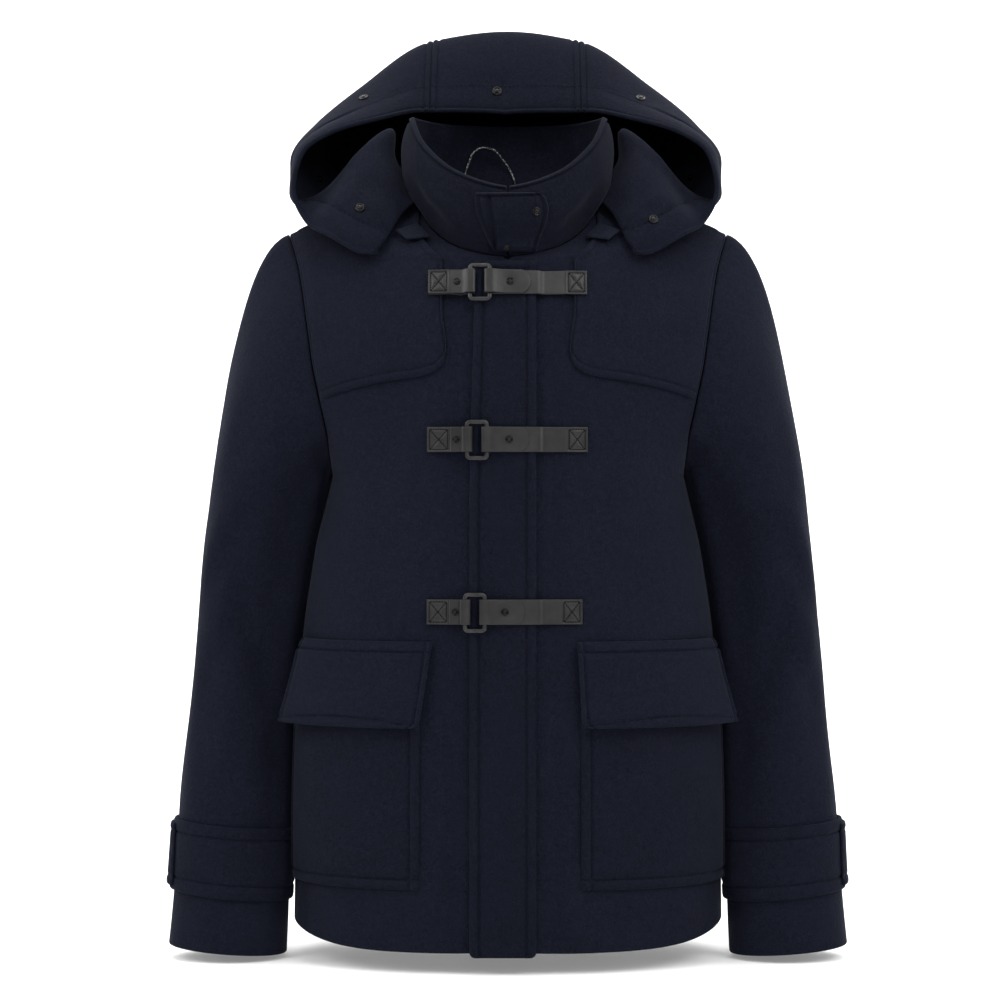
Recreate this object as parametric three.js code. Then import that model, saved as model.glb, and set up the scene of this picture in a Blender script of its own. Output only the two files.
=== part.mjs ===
// Short hooded duffle-style wool coat, worn shape, hollow, fastened down the front.
// Millimetres, +Z up, the front of the coat faces -Y, +X is the wearer's left.
// The origin is the middle of the neck between the shoulders.
import * as THREE from 'three';

// ---------------------------------------------------------------- driving sizes
const WALL = 3;
const COLLAR_WALL = 4;
const OVERLAY = 2.5;
const SEAM_GAP = 0.3;
const REST_GAP = 0.7;
const UNDERARM_ROW = 5;
const NECK_ROW = 13;
const PLACKET = { left: 24, rightTop: -28, right: -32.8, top: -43, drop: 3, wall: 3 };
const STRAP_WIDTH = 22;
const STRAP_WALL = 1.5;
const RING = { width: 20, height: 35, bar: 4.2, wall: 2.2 };
const CUFF_BAND = { top: -534.5, bottom: -597.5, wall: 3 };
const STUD_RADIUS = 4.2;
const LOOP_RADIUS = 1.5;

// ---------------------------------------------------------------- named columns
function table(columns, rows) {
  return rows.map((row) => Object.fromEntries(columns.map((name, i) => [name, row[i]])));
}

const PANEL_COLUMNS = [
  'edgeX', 'edgeY', 'edgeZ', 'startX', 'startY', 'startZ', 'power', 'close', 'fall', 'swell',
];

// One row per height. Start is the centre line, then the neckline. Edge is the side seam,
// then the armhole. Power and close set how full the row is between them, fall how the row
// drops, and swell how far the cloth stands out just behind the side seam.
const FRONT = table(PANEL_COLUMNS, [
  [191.5, 0, -621, 0, -121, -636, 2.5, 0.4, 6, 0],
  [191, 0, -540, 0, -121, -543, 2.5, 0.4, 3, 0],
  [188.8, 0, -455, 0, -121, -455, 2.5, 0.4, 2, 0],
  [184, 0, -370, 0, -120, -370, 2.5, 0.4, 2, 0],
  [172.5, 0, -295, 0, -119, -295, 2.55, 0.392, 2, 0],
  [157, 0, -226, 0, -119, -226, 2.7, 0.37, 2, 0],
  [156.5, -19, -223.5, 0, -119, -223, 2.6, 0.433, 2, 0],
  [156.8, -36, -215, 0, -119, -215, 2.5, 0.527, 2, 0],
  [159, -58, -190, 0, -119, -190, 2.3, 0.745, 2, 0],
  [165, -66, -162, 0, -118.5, -162, 2.2, 0.9, 2, 0],
  [171.5, -67, -131, 0, -117, -131, 2.1, 0.95, 2, 0],
  [176.5, -61, -97, 0, -112.5, -97, 2.1, 1, 2, 0],
  [181, -50, -68, 0, -105, -68, 2, 1, 2, 0],
  [186, -35, -42, 0, -93.5, -37, 1.9, 1, 1.8, 0],
  [191.5, -20, -24, 40, -82, -29, 1.6, 1, 1.6, 0],
  [195, -11, -14, 70, -50, -5, 1.3, 1, 1.6, 0],
  [196, -6, -10.5, 81, -4, 25, 1.1, 1, 1.6, 0],
]);
const BACK = table(PANEL_COLUMNS, [
  [191.5, 0, -621, 0, 113, -623, 2.5, 0.4, 2, 0],
  [191, 0, -540, 0, 112, -540, 2.5, 0.4, 2, 0],
  [188.8, 0, -455, 0, 109, -455, 2.5, 0.4, 2, 0],
  [184, 0, -370, 0, 106, -370, 2.5, 0.4, 2, 3],
  [172.5, 0, -295, 0, 106, -295, 2.55, 0.392, 2, 5],
  [157, 0, -226, 0, 109, -226, 2.7, 0.37, 2, 4],
  [156.5, 19, -223.5, 0, 109.5, -223, 2.6, 0.433, 2, 3],
  [156.8, 35, -215, 0, 110, -214, 2.5, 0.527, 2, 2],
  [159, 55, -190, 0, 111.5, -188, 2.3, 0.745, 2, 0],
  [165, 64, -162, 0, 112.5, -158, 2.2, 0.9, 2, 0],
  [171.5, 66, -131, 0, 112.5, -124, 2.1, 0.95, 2, 0],
  [177, 62, -97, 0, 109, -84, 2.1, 1, 2, 0],
  [183, 53, -64, 0, 99, -38, 2, 1, 1.8, 0],
  [190, 38, -36, 0, 63, 35, 1.7, 1, 1.3, 0],
  [195, 22, -16, 36, 58, 35, 1.5, 1, 1.4, 0],
  [197, 8, -7.5, 66, 38, 34, 1.3, 1, 1.5, 0],
  [196, -6, -10.5, 81, -4, 25, 1.1, 1, 1.6, 0],
]);

// Sleeve cross-sections from just under the armhole down to the cuff.
// Each is tilted: its outer side is higher by rise times the half width.
const SLEEVE = table(['z', 'inner', 'outer', 'midY', 'depth', 'tilt', 'rise'], [
  [-252, 170.5, 264.5, 6, 136, 0.2, 0],
  [-307, 182, 270, 9, 127, 0.26, 0.01],
  [-370, 190, 276.5, 8, 117, 0.28, 0.03],
  [-445, 193.5, 285.5, 3, 107, 0.2, 0.06],
  [-517, 194.8, 293, -7, 98, 0.08, 0.09],
  [-590, 195.3, 297, -17, 90, 0, 0.1],
  [-646, 197, 301.8, -23, 84, 0, 0.08],
]);

// Collar top edge, from the front round the side to the back.
const COLLAR_TOP = table(['x', 'y', 'z', 'bulge'], [
  [0, -97, 24, 9],
  [45, -88, 38.5, 10],
  [78, -56, 71, 11],
  [87, -8, 96, 12],
  [70, 42, 98, 9],
  [38, 64, 98, 6],
  [0, 70, 98, 6],
]);

// Hood sections, one row from the front end round to the centre back. Each runs from the
// neck seam over the four points to the edge of the face opening.
const HOOD = table(
  ['ring', 'up', 'ax', 'ay', 'az', 'bx', 'by', 'bz', 'cx', 'cy', 'cz', 'dx', 'dy', 'dz', 'ex', 'ey', 'ez'],
  [
    [0.38, 0.16, 93, -50, 4, 98, -60, -6, 103, -68, -16, 108, -76, -25, 112.5, -83, -32],
    [0.4, 0.17, 97, -42, 22, 105, -52, 17, 112, -63, 4, 118, -74, -14, 124, -82, -34],
    [0.43, 0.18, 103, -26, 46, 116, -26, 59, 132, -43, 38, 145, -59, 8, 153.5, -71, -18],
    [0.47, 0.2, 102, 0, 62, 104.5, 3, 86, 136, -20, 59, 163, -36, 16, 175.5, -49, -4],
    [0.55, 0.22, 100, 30, 52, 122, 46, 34, 158, 50, 22, 190.5, 0, 23, 188, -38, 30],
    [0.62, 0.24, 95, 60, 44, 126, 84, 18, 168, 84, 36, 193, 18, 56, 180, -33, 61],
    [0.69, 0.25, 82, 84, 40, 120, 118, 20, 165, 122, 68, 172, 46, 95, 155, -23, 80],
    [0.77, 0.25, 58, 100, 38, 92, 146, 26, 130, 158, 98, 131, 74, 136, 115, 2, 95],
    [0.88, 0.25, 30, 104, 36, 50, 163, 28, 67, 188, 110, 68, 98, 181, 70, 38, 107],
    [1, 0.25, 0, 104, 35, 0, 167, 28, 0, 196, 114, 0, 101, 190, 0, 48, 106],
  ],
);
const HOOD_LEAN = -2.5;
const GUSSET_ROW = 8;
const CREST_ROW = 3;

// The three fastenings: heights and where the pieces start and stop across the front.
const FASTENINGS = table(
  ['name', 'z', 'squareFrom', 'squareTo', 'ringX', 'tongue', 'stud', 'smallStud', 'farTo', 'under'],
  [
    ['top', -62, -67.4, -49.3, -23.6, 18.8, 1.7, -42.9, 67, 3.4],
    ['middle', -196, -68.6, -48.9, -26, 17.5, 0.9, -43.8, 68, 0],
    ['bottom', -343.5, -69, -50, -28, 14.5, -2.6, -44.6, 63.5, 0],
  ],
);

// Patch pockets and their flaps, by side of the wearer.
const POCKETS = table(['side', 'name', 'inner', 'flapInner', 'flapInnerLow'], [
  [-1, 'right', 75.5, 64, 74.5],
  [1, 'left', 62.5, 58.5, 62],
]);
const POCKET = { top: -379, bottom: -582, reach: 0.9, puff: 3 };
const FLAP = { top: -369, bottom: -443, topReach: 0.82, lowReach: 0.8, standFront: 5, standSide: 17 };

// Yoke lower edge on one front: distance from the centre and height.
const YOKE_EDGE = table(['x', 'z'], [
  [53, -118],
  [54.5, -128],
  [60, -136],
  [72, -141],
  [100, -145],
  [130, -151],
  [160, -160],
]);

const WOOL = 0x1f212d;
const WOOL_DARK = 0x1b1d28;
const LEATHER = 0x2f2e2f;
const METAL = 0x3b3b3d;
const LOOP_COLOUR = 0x2a2a2e;

// ---------------------------------------------------------------- interpolation
function clamp(value, low, high) {
  return Math.min(Math.max(value, low), high);
}

// A value of one column at a fractional row, eased through the rows without overshoot.
function eased(rows, column, at) {
  const last = rows.length - 1;
  const place = clamp(at, 0, last);
  const i = Math.min(Math.floor(place), last - 1);
  const f = place - i;
  const step = (k) => rows[k + 1][column] - rows[k][column];
  const endSlope = (near, next) => {
    const value = (3 * near - next) / 2;
    return value * near > 0 ? value : 0;
  };
  const slope = (k) => {
    if (k === 0) return endSlope(step(0), step(1));
    if (k === last) return endSlope(step(last - 1), step(last - 2));
    const product = step(k - 1) * step(k);
    return product > 0 ? (2 * product) / (step(k - 1) + step(k)) : 0;
  };
  const rise = step(i);
  const a = slope(i);
  const b = slope(i + 1);
  return rows[i][column] + f * (a + f * (3 * rise - 2 * a - b + f * (a + b - 2 * rise)));
}

function straight(rows, column, at) {
  const place = clamp(at, 0, rows.length - 1);
  const i = Math.min(Math.floor(place), rows.length - 2);
  return rows[i][column] + (rows[i + 1][column] - rows[i][column]) * (place - i);
}

// Rows ease separately on each side of the row where an edge turns a corner: the underarm
// for the outer edge, the pit of the neck for the inner edge.
function panelRow(rows, at) {
  return Object.fromEntries(PANEL_COLUMNS.map((name) => {
    const corner = name.startsWith('start') ? NECK_ROW : UNDERARM_ROW;
    const low = at <= corner;
    const part = low ? rows.slice(0, corner + 1) : rows.slice(corner);
    const read = name.startsWith('edge') && !low ? straight : eased;
    return [name, read(part, name, low ? at : at - corner)];
  }));
}

// ---------------------------------------------------------------- body surface
// s runs from 0 at the centre or neckline to 1 at the side seam or armhole.
function panelPoint(rows, at, s) {
  const row = panelRow(rows, at);
  const open = clamp((row.close - 0.42) / 0.58, 0, 1);
  const round = Math.sin(s * Math.PI / 2) ** (2 / row.power);
  const r = round * (1 - open) + s * open;
  const depth = Math.max(0, 1 - r ** row.power) ** row.close;
  return new THREE.Vector3(
    row.startX + (row.edgeX - row.startX) * r + row.swell * (s ** 5) * (1 - s) * 15,
    row.edgeY + (row.startY - row.edgeY) * depth,
    row.startZ + (row.edgeZ - row.startZ) * r ** row.fall,
  );
}

function surfaceNormal(surface, a, b, limits, sign) {
  const e = 0.002;
  const a0 = clamp(a - e, limits[0], limits[1]);
  const a1 = clamp(a + e, limits[0], limits[1]);
  const b0 = clamp(b - e, limits[2], limits[3]);
  const b1 = clamp(b + e, limits[2], limits[3]);
  const across = surface(a, b1).sub(surface(a, b0));
  const up = surface(a1, b).sub(surface(a0, b));
  return across.cross(up).normalize().multiplyScalar(sign);
}

const PANEL_LIMITS = [0, 16, 0, 1];

function frontPoint(at, s, lift) {
  const surface = (a, b) => panelPoint(FRONT, a, b);
  const normal = surfaceNormal(surface, at, s, PANEL_LIMITS, 1);
  return surface(at, s).addScaledVector(normal, lift);
}

function backPoint(at, s, lift) {
  const surface = (a, b) => panelPoint(BACK, a, b);
  const normal = surfaceNormal(surface, at, s, PANEL_LIMITS, -1);
  return surface(at, s).addScaledVector(normal, lift);
}

// The place on the front, as row and share of the row, at a given height.
function rowAtHeight(z, s) {
  let low = 0;
  let high = 16;
  for (let i = 0; i < 30; i += 1) {
    const mid = (low + high) / 2;
    if (panelPoint(FRONT, mid, s).z < z) low = mid;
    else high = mid;
  }
  return (low + high) / 2;
}

function shareAtWidth(x, at) {
  let low = 0;
  let high = 1;
  for (let i = 0; i < 30; i += 1) {
    const mid = (low + high) / 2;
    if (panelPoint(FRONT, at, mid).x < x) low = mid;
    else high = mid;
  }
  return (low + high) / 2;
}

function frontAt(x, z, lift) {
  const side = x < 0 ? -1 : 1;
  let s = 0;
  let at = rowAtHeight(z, s);
  for (let i = 0; i < 6; i += 1) {
    s = shareAtWidth(Math.abs(x), at);
    at = rowAtHeight(z, s);
  }
  const point = frontPoint(at, s, lift);
  point.x *= side;
  return point;
}

// ---------------------------------------------------------------- solids from grids
function grid(rows, columns, place) {
  return rows.map((a) => columns.map((b) => place(a, b)));
}

function spread(from, to, count) {
  return Array.from({ length: count + 1 }, (_, i) => from + ((to - from) * i) / count);
}

// Reverses the faces when the solid is inside out, so they always look outward.
function faceOut(geometry) {
  const p = geometry.attributes.position;
  const index = geometry.index.array;
  let volume = 0;
  const [a, b, c] = [new THREE.Vector3(), new THREE.Vector3(), new THREE.Vector3()];
  for (let i = 0; i < index.length; i += 3) {
    a.fromBufferAttribute(p, index[i]);
    b.fromBufferAttribute(p, index[i + 1]);
    c.fromBufferAttribute(p, index[i + 2]);
    volume += a.dot(b.cross(c));
  }
  if (volume < 0) {
    for (let i = 0; i < index.length; i += 3) {
      [index[i + 1], index[i + 2]] = [index[i + 2], index[i + 1]];
    }
  }
  geometry.computeVertexNormals();
  return geometry;
}

function solidFrom(points, faces) {
  const geometry = new THREE.BufferGeometry();
  const flat = points.flatMap((p) => [p.x, p.y, p.z]);
  geometry.setAttribute('position', new THREE.Float32BufferAttribute(flat, 3));
  geometry.setIndex(faces);
  return faceOut(geometry);
}

// A closed sheet of cloth between two matching grids. Round sheets join their last
// column to their first.
function sheet(outer, inner, round = false) {
  const m = outer.length;
  const n = outer[0].length;
  const at = (i, j) => i * n + (j % n);
  const cells = [];
  for (let i = 0; i < m - 1; i += 1) {
    for (let j = 0; j < (round ? n : n - 1); j += 1) {
      cells.push([at(i, j), at(i, j + 1), at(i + 1, j + 1), at(i + 1, j)]);
    }
  }
  return shell(outer.flat(), inner.flat(), cells);
}

// Two layers of the same cells, closed along every free edge.
function shell(outer, inner, cells) {
  const far = outer.length;
  const faces = [];
  const sides = new Map();
  cells.forEach(([a, b, c, d]) => {
    faces.push(a, b, c, a, c, d);
    faces.push(far + a, far + d, far + c, far + a, far + c, far + b);
    [[a, b], [b, c], [c, d], [d, a]].forEach(([p, q]) => sides.set(`${p} ${q}`, [p, q]));
  });
  sides.forEach(([p, q]) => {
    if (sides.has(`${q} ${p}`)) return;
    if (p < q) faces.push(p, far + p, far + q, p, far + q, q);
    else faces.push(p, far + p, q, q, far + p, far + q);
  });
  return solidFrom([...outer, ...inner], faces);
}

// A bar bent along a closed or open path, with the same section all the way.
function bentBar(sections, closed) {
  const m = sections.length;
  const n = sections[0].length;
  const faces = [];
  const at = (i, j) => (i % m) * n + (j % n);
  for (let i = 0; i < (closed ? m : m - 1); i += 1) {
    for (let j = 0; j < n; j += 1) {
      faces.push(at(i, j), at(i, j + 1), at(i + 1, j + 1), at(i, j), at(i + 1, j + 1), at(i + 1, j));
    }
  }
  for (let j = 1; !closed && j < n - 1; j += 1) {
    faces.push(at(0, 0), at(0, j + 1), at(0, j));
    faces.push(at(m - 1, 0), at(m - 1, j), at(m - 1, j + 1));
  }
  return solidFrom(sections.flat(), faces);
}

// A turned cap standing on a surface. The profile gives radius and height pairs.
function turnedCap(profile, count, foot, top) {
  const axis = top.clone().sub(foot).normalize();
  const turn = new THREE.Quaternion().setFromUnitVectors(new THREE.Vector3(0, 0, 1), axis);
  const place = (r, h, angle) => new THREE.Vector3(r * Math.cos(angle), r * Math.sin(angle), h)
    .applyQuaternion(turn).add(foot);
  const points = [place(0, profile[0][1], 0)];
  profile.forEach(([r, h]) => {
    spread(0, 2 * Math.PI, count).slice(0, count).forEach((angle) => points.push(place(r, h, angle)));
  });
  points.push(place(0, profile[profile.length - 1][1], 0));
  const faces = [];
  const at = (i, j) => 1 + i * count + (j % count);
  const last = points.length - 1;
  for (let j = 0; j < count; j += 1) {
    faces.push(0, at(0, j + 1), at(0, j), last, at(profile.length - 1, j), at(profile.length - 1, j + 1));
    for (let i = 0; i < profile.length - 1; i += 1) {
      faces.push(at(i, j), at(i, j + 1), at(i + 1, j + 1), at(i, j), at(i + 1, j + 1), at(i + 1, j));
    }
  }
  return solidFrom(points, faces);
}

function mirrored(geometry) {
  const copy = geometry.clone();
  copy.scale(-1, 1, 1);
  return faceOut(copy);
}

const group = new THREE.Group();
group.name = 'hooded_duffle_coat';

function add(name, geometry, colour, roughness = 0.95, metalness = 0) {
  const material = new THREE.MeshStandardMaterial({ color: colour, roughness, metalness });
  const mesh = new THREE.Mesh(geometry, material);
  mesh.name = name;
  group.add(mesh);
}

// The right-hand piece of a pair is the left-hand one mirrored.
function addPair(name, geometry, colour, roughness, metalness) {
  add(`${name}_left`, geometry, colour, roughness, metalness);
  add(`${name}_right`, mirrored(geometry), colour, roughness, metalness);
}

// ---------------------------------------------------------------- fronts and back
const BODY_ROWS = [
  0, 0.6, 1.3, 2, 2.7, 3.4, 4.2, 5, 6, 7, 8, 9, 10, 11, 12, 13, 13.5, 14, 14.5, 15, 15.5, 16,
];
const FRONT_SHARES = spread(0, 1, 12);
const BACK_SHARES = spread(0, 1, 9);

// The two bodies share one direction along the shoulder seam, so their walls meet squarely.
function shoulderNormal(s) {
  const front = frontPoint(16, s, 1).sub(panelPoint(FRONT, 16, s));
  const back = backPoint(16, s, 1).sub(panelPoint(BACK, 16, s));
  return front.add(back).normalize();
}

// Moves in from the outer face by the wall, never across the armhole seam.
function panelWall(rows, place, at, s, lift) {
  const outer = panelPoint(rows, at, s);
  const moved = at === 16 ? outer.clone().addScaledVector(shoulderNormal(s), lift) : place(at, s, lift);
  if (s === 1 && at > UNDERARM_ROW) moved.x = Math.min(moved.x, outer.x);
  return moved;
}

function nudge(point, x, y) {
  point.x += x;
  point.y += y;
  return point;
}

function seamShift(s, at) {
  const atCentre = s === 0 && at <= 13;
  return atCentre ? SEAM_GAP / 2 : 0;
}

function buildFronts() {
  const layer = (lift) => grid(BODY_ROWS, FRONT_SHARES, (at, s) => {
    const side = s === 1 && (at <= 5 || at === 16);
    const shoulder = at === 16 ? SEAM_GAP / 2 : 0;
    const point = panelWall(FRONT, frontPoint, at, s, lift);
    return nudge(point, seamShift(s, at), side ? -SEAM_GAP / 2 : -shoulder);
  });
  addPair('front', sheet(layer(0), layer(-WALL)), WOOL);
}

// The back is whole up to the neck pit; above it, it parts into two shoulders.
function buildBack() {
  const shares = [...BACK_SHARES.slice(1).reverse().map((s) => -s), ...BACK_SHARES];
  const middle = BACK_SHARES.length - 1;
  const point = (at, s, lift, mirror) => {
    const placed = panelWall(BACK, backPoint, at, Math.abs(s), lift);
    if (mirror) placed.x *= -1;
    const side = Math.abs(s) === 1 && at <= 5;
    const shoulder = SEAM_GAP + 0.5 * (1 - Math.abs(s)) ** 3;
    return nudge(placed, 0, at === 16 ? shoulder : side ? SEAM_GAP / 2 : 0);
  };
  const parted = BODY_ROWS.filter((at) => at > NECK_ROW);
  const layer = (lift) => [
    ...grid(BODY_ROWS, shares, (at, s) => point(at, s, lift, s < 0)).flat(),
    ...parted.map((at) => point(at, 0, lift, true)),
  ];
  const n = shares.length;
  const whole = BODY_ROWS.length - parted.length;
  const corner = (i, j, right) => (
    right && j === middle && i >= whole ? BODY_ROWS.length * n + i - whole : i * n + j);
  const cells = [];
  for (let i = 0; i < BODY_ROWS.length - 1; i += 1) {
    for (let j = 0; j < n - 1; j += 1) {
      const right = j < middle;
      const low = [corner(i, j, right), corner(i, j + 1, right)];
      cells.push([...low, corner(i + 1, j + 1, right), corner(i + 1, j, right)]);
    }
  }
  return shell(layer(0), layer(-WALL), cells);
}

buildFronts();

// ---------------------------------------------------------------- sleeves
const CAP_COLUMNS = ['x', 'y', 'z', 'pull'];
// Direction and strength with which the sleeve leaves the armhole: top, front, underarm, back.
const CAP_PULL = table(CAP_COLUMNS, [
  [0.98, -0.05, -0.17, 132],
  [0.86, -0.14, -0.45, 66],
  [0.92, 0, 0.12, 24],
  [0.86, 0.2, -0.45, 66],
  [0.98, -0.05, -0.17, 132],
]);
const CAP_STEPS = [0, 0.14, 0.3, 0.48, 0.7, 1];
const ARM_ROWS = [0.5, 1, 1.5, 2, 3, 4, 5, 6];
const ARMHOLE_ROWS = spread(16, 5, 11);

// Armhole points round the loop: down the front from the shoulder, then up the back.
const armhole = [
  ...ARMHOLE_ROWS.map((at) => panelPoint(FRONT, at, 1)),
  ...ARMHOLE_ROWS.slice(1, -1).reverse().map((at) => panelPoint(BACK, at, 1)),
];

function loopTurns(loop) {
  const half = ARMHOLE_ROWS.length - 1;
  const lengths = loop.map((p, i) => p.distanceTo(loop[(i + 1) % loop.length]));
  const total = (from, to) => lengths.slice(from, to).reduce((sum, value) => sum + value, 0);
  const front = total(0, half);
  const back = total(half, loop.length);
  return loop.map((_, i) => (i <= half
    ? total(0, i) / front / 2
    : 0.5 + total(half, i) / back / 2));
}

const turns = loopTurns(armhole);

function sleeveRing(at, turn) {
  const inner = eased(SLEEVE, 'inner', at);
  const outer = eased(SLEEVE, 'outer', at);
  const angle = 2 * Math.PI * turn;
  const ahead = (eased(SLEEVE, 'depth', at) / 2) * Math.sin(angle);
  const aside = ((outer - inner) / 2) * Math.cos(angle);
  return new THREE.Vector3(
    (outer + inner) / 2 + aside + eased(SLEEVE, 'tilt', at) * ahead,
    eased(SLEEVE, 'midY', at) - ahead,
    eased(SLEEVE, 'z', at) + eased(SLEEVE, 'rise', at) * aside,
  );
}

function capPoint(index, f) {
  const start = armhole[index].clone();
  const turn = turns[index];
  const end = sleeveRing(0, turn);
  const place = turn * 4;
  const pull = new THREE.Vector3(
    eased(CAP_PULL, 'x', place),
    eased(CAP_PULL, 'y', place),
    eased(CAP_PULL, 'z', place),
  ).multiplyScalar(eased(CAP_PULL, 'pull', place));
  const fall = (end.z - start.z) * 1.15;
  const drop = new THREE.Vector3(-0.11 * fall, 0, fall);
  const g = f * f;
  const h = g * f;
  return start.multiplyScalar(2 * h - 3 * g + 1)
    .addScaledVector(pull, h - 2 * g + f)
    .addScaledVector(end, 3 * g - 2 * h)
    .addScaledVector(drop, h - g);
}

const sleeveSurface = [
  ...CAP_STEPS.map((f) => turns.map((_, i) => capPoint(i, f))),
  ...ARM_ROWS.map((at) => turns.map((turn) => sleeveRing(at, turn))),
];

// Outward directions on a grid that closes on itself round the arm.
function ringNormals(rows) {
  const n = rows[0].length;
  return rows.map((row, i) => row.map((_, j) => {
    const across = row[(j + 1) % n].clone().sub(row[(j + n - 1) % n]);
    const below = rows[Math.min(i + 1, rows.length - 1)][j];
    const along = below.clone().sub(rows[Math.max(i - 1, 0)][j]);
    return across.cross(along).normalize();
  }));
}

function ringOffset(rows, lift) {
  const normals = ringNormals(rows);
  return rows.map((row, i) => row.map((p, j) => p.clone().addScaledVector(normals[i][j], lift)));
}

function sleevePanels() {
  const n = turns.length;
  const count = (part) => part.length;
  const outer = ringOffset(sleeveSurface, 0);
  const inner = ringOffset(sleeveSurface, -WALL);
  inner[0].forEach((p, j) => {
    p.x = Math.max(p.x, outer[0][j].x);
  });
  const seamFront = 9;
  const seamBack = n - 8;
  const under = spread(seamFront, seamBack, seamBack - seamFront);
  const upper = spread(seamBack, n + seamFront, n + seamFront - seamBack);
  const pick = (rows, order, outward) => rows.map((row) => order.map((j, k) => {
    const p = row[j % n].clone();
    const end = k === 0 ? 1 : k === count(order) - 1 ? -1 : 0;
    const next = row[(j + end + n) % n];
    if (end) p.addScaledVector(next.clone().sub(p).normalize(), SEAM_GAP / 2);
    return nudge(p, outward, 0);
  }));
  const panel = (order) => sheet(pick(outer, order, SEAM_GAP), pick(inner, order, SEAM_GAP));
  return { upper: panel(upper), under: panel(under) };
}

const sleeves = sleevePanels();
addPair('sleeve_upper', sleeves.upper, WOOL);
addPair('sleeve_under', sleeves.under, WOOL_DARK);
add('back', buildBack(), WOOL);

// ---------------------------------------------------------------- cuff bands
function armRowAtHeight(z) {
  let low = 0;
  let high = SLEEVE.length - 1;
  for (let i = 0; i < 30; i += 1) {
    const mid = (low + high) / 2;
    if (eased(SLEEVE, 'z', mid) > z) low = mid;
    else high = mid;
  }
  return (low + high) / 2;
}

function cuffPoint(z, turn, lift) {
  const at = armRowAtHeight(z);
  const p = sleeveRing(at, turn);
  const ahead = sleeveRing(at, turn + 0.002).sub(sleeveRing(at, turn - 0.002));
  const out = new THREE.Vector3(-ahead.y, ahead.x, 0).normalize();
  return nudge(p, SEAM_GAP, 0).addScaledVector(out, lift);
}

function buildCuff() {
  const rows = spread(CUFF_BAND.top, CUFF_BAND.bottom, 3);
  const band = (lift) => grid(rows, turns, (z, turn) => cuffPoint(z, turn, lift));
  const shell = sheet(band(REST_GAP + CUFF_BAND.wall), band(REST_GAP), true);
  const keeperRows = spread(CUFF_BAND.top - 4, CUFF_BAND.bottom + 4, 3);
  const keeperTurns = spread(-0.16, 0.075, 6);
  const base = 2 * REST_GAP + CUFF_BAND.wall;
  const tab = (lift) => grid(keeperRows, keeperTurns, (z, turn) => cuffPoint(z, turn, lift));
  addPair('cuff_band', shell, WOOL_DARK);
  addPair('cuff_tab', sheet(tab(base + 2.2), tab(base)), WOOL);
}

buildCuff();

// ---------------------------------------------------------------- collar
// h runs from 0 at the centre front to 1 at the centre back, v from the seam to the top.
function neckPoint(h) {
  const front = h <= 0.5;
  const row = panelRow(front ? FRONT : BACK, 13 + (front ? h : 1 - h) * 6);
  return new THREE.Vector3(row.startX, row.startY, row.startZ);
}

function collarPoint(h, v, lift) {
  const base = neckPoint(h);
  base.z += SEAM_GAP;
  const read = (name) => eased(COLLAR_TOP, name, h * 6);
  const top = new THREE.Vector3(read('x'), read('y'), read('z'));
  const out = new THREE.Vector3(base.x + top.x, base.y + top.y + 30, 0).normalize();
  const bulge = read('bulge') * 4 * v * (1 - v);
  return base.lerp(top, v).addScaledVector(out, bulge + lift);
}

function buildCollar() {
  const half = [0.004, ...spread(1 / 12, 11 / 12, 10)];
  const shares = [...half, 1, ...half.slice().reverse().map((h) => -h)];
  const layer = (lift) => grid([0, 0.2, 0.45, 0.7, 0.9, 1], shares, (v, h) => {
    const p = collarPoint(Math.abs(h), v, lift);
    if (h < 0) p.x *= -1;
    return p;
  });
  return sheet(layer(0), layer(-COLLAR_WALL));
}

add('collar', buildCollar(), WOOL_DARK);

// ---------------------------------------------------------------- throat tab
const THROAT_TAB = table(['z', 'from', 'to'], [
  [-33, -12, 24],
  [-22, -18, 28],
  [-10, -23, 32],
  [3, -27, 34],
  [12, -28, 32],
  [17.5, -26, 26],
]);

// A point on the collar's front at a given height and distance across.
function collarFrontAt(x, z, lift) {
  const side = x < 0 ? -1 : 1;
  let h = 0;
  let v = 0.5;
  for (let i = 0; i < 24; i += 1) {
    const p = collarPoint(h, v, 0);
    h = clamp(h + (Math.abs(x) - p.x) / 260, 0, 0.4);
    v = clamp(v + (z - p.z) / 70, 0, 1);
  }
  const p = collarPoint(h, v, lift);
  p.x *= side;
  return p;
}

function buildThroatTab() {
  const rows = spread(0, THROAT_TAB.length - 1, 7);
  const layer = (lift) => grid(rows, spread(0, 1, 6), (at, u) => {
    const from = eased(THROAT_TAB, 'from', at);
    const to = eased(THROAT_TAB, 'to', at);
    return collarFrontAt(from + (to - from) * u, eased(THROAT_TAB, 'z', at), lift);
  });
  return sheet(layer(REST_GAP + 3.2), layer(REST_GAP + 0.2));
}

add('collar_tab', buildThroatTab(), WOOL_DARK);

// ---------------------------------------------------------------- hood
function hoodAt(a, v) {
  const neck = collarPoint(eased(HOOD, 'ring', a), eased(HOOD, 'up', a), REST_GAP + WALL / 2);
  const stops = [neck, ...['a', 'b', 'c', 'd', 'e'].map((key) => new THREE.Vector3(
    eased(HOOD, `${key}x`, a),
    eased(HOOD, `${key}y`, a),
    eased(HOOD, `${key}z`, a),
  ))];
  const place = clamp(v, 0, 1) * 5;
  const i = Math.min(Math.floor(place), 4);
  const f = place - i;
  const pick = (k) => stops[clamp(k, 0, 5)];
  const from = pick(i + 1).clone().sub(pick(i - 1)).multiplyScalar(0.5);
  const to = pick(i + 2).clone().sub(pick(i)).multiplyScalar(0.5);
  const g = f * f;
  const h = g * f;
  return pick(i).clone().multiplyScalar(2 * h - 3 * g + 1)
    .addScaledVector(from, h - 2 * g + f)
    .addScaledVector(pick(i + 1), 3 * g - 2 * h)
    .addScaledVector(to, h - g);
}

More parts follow.
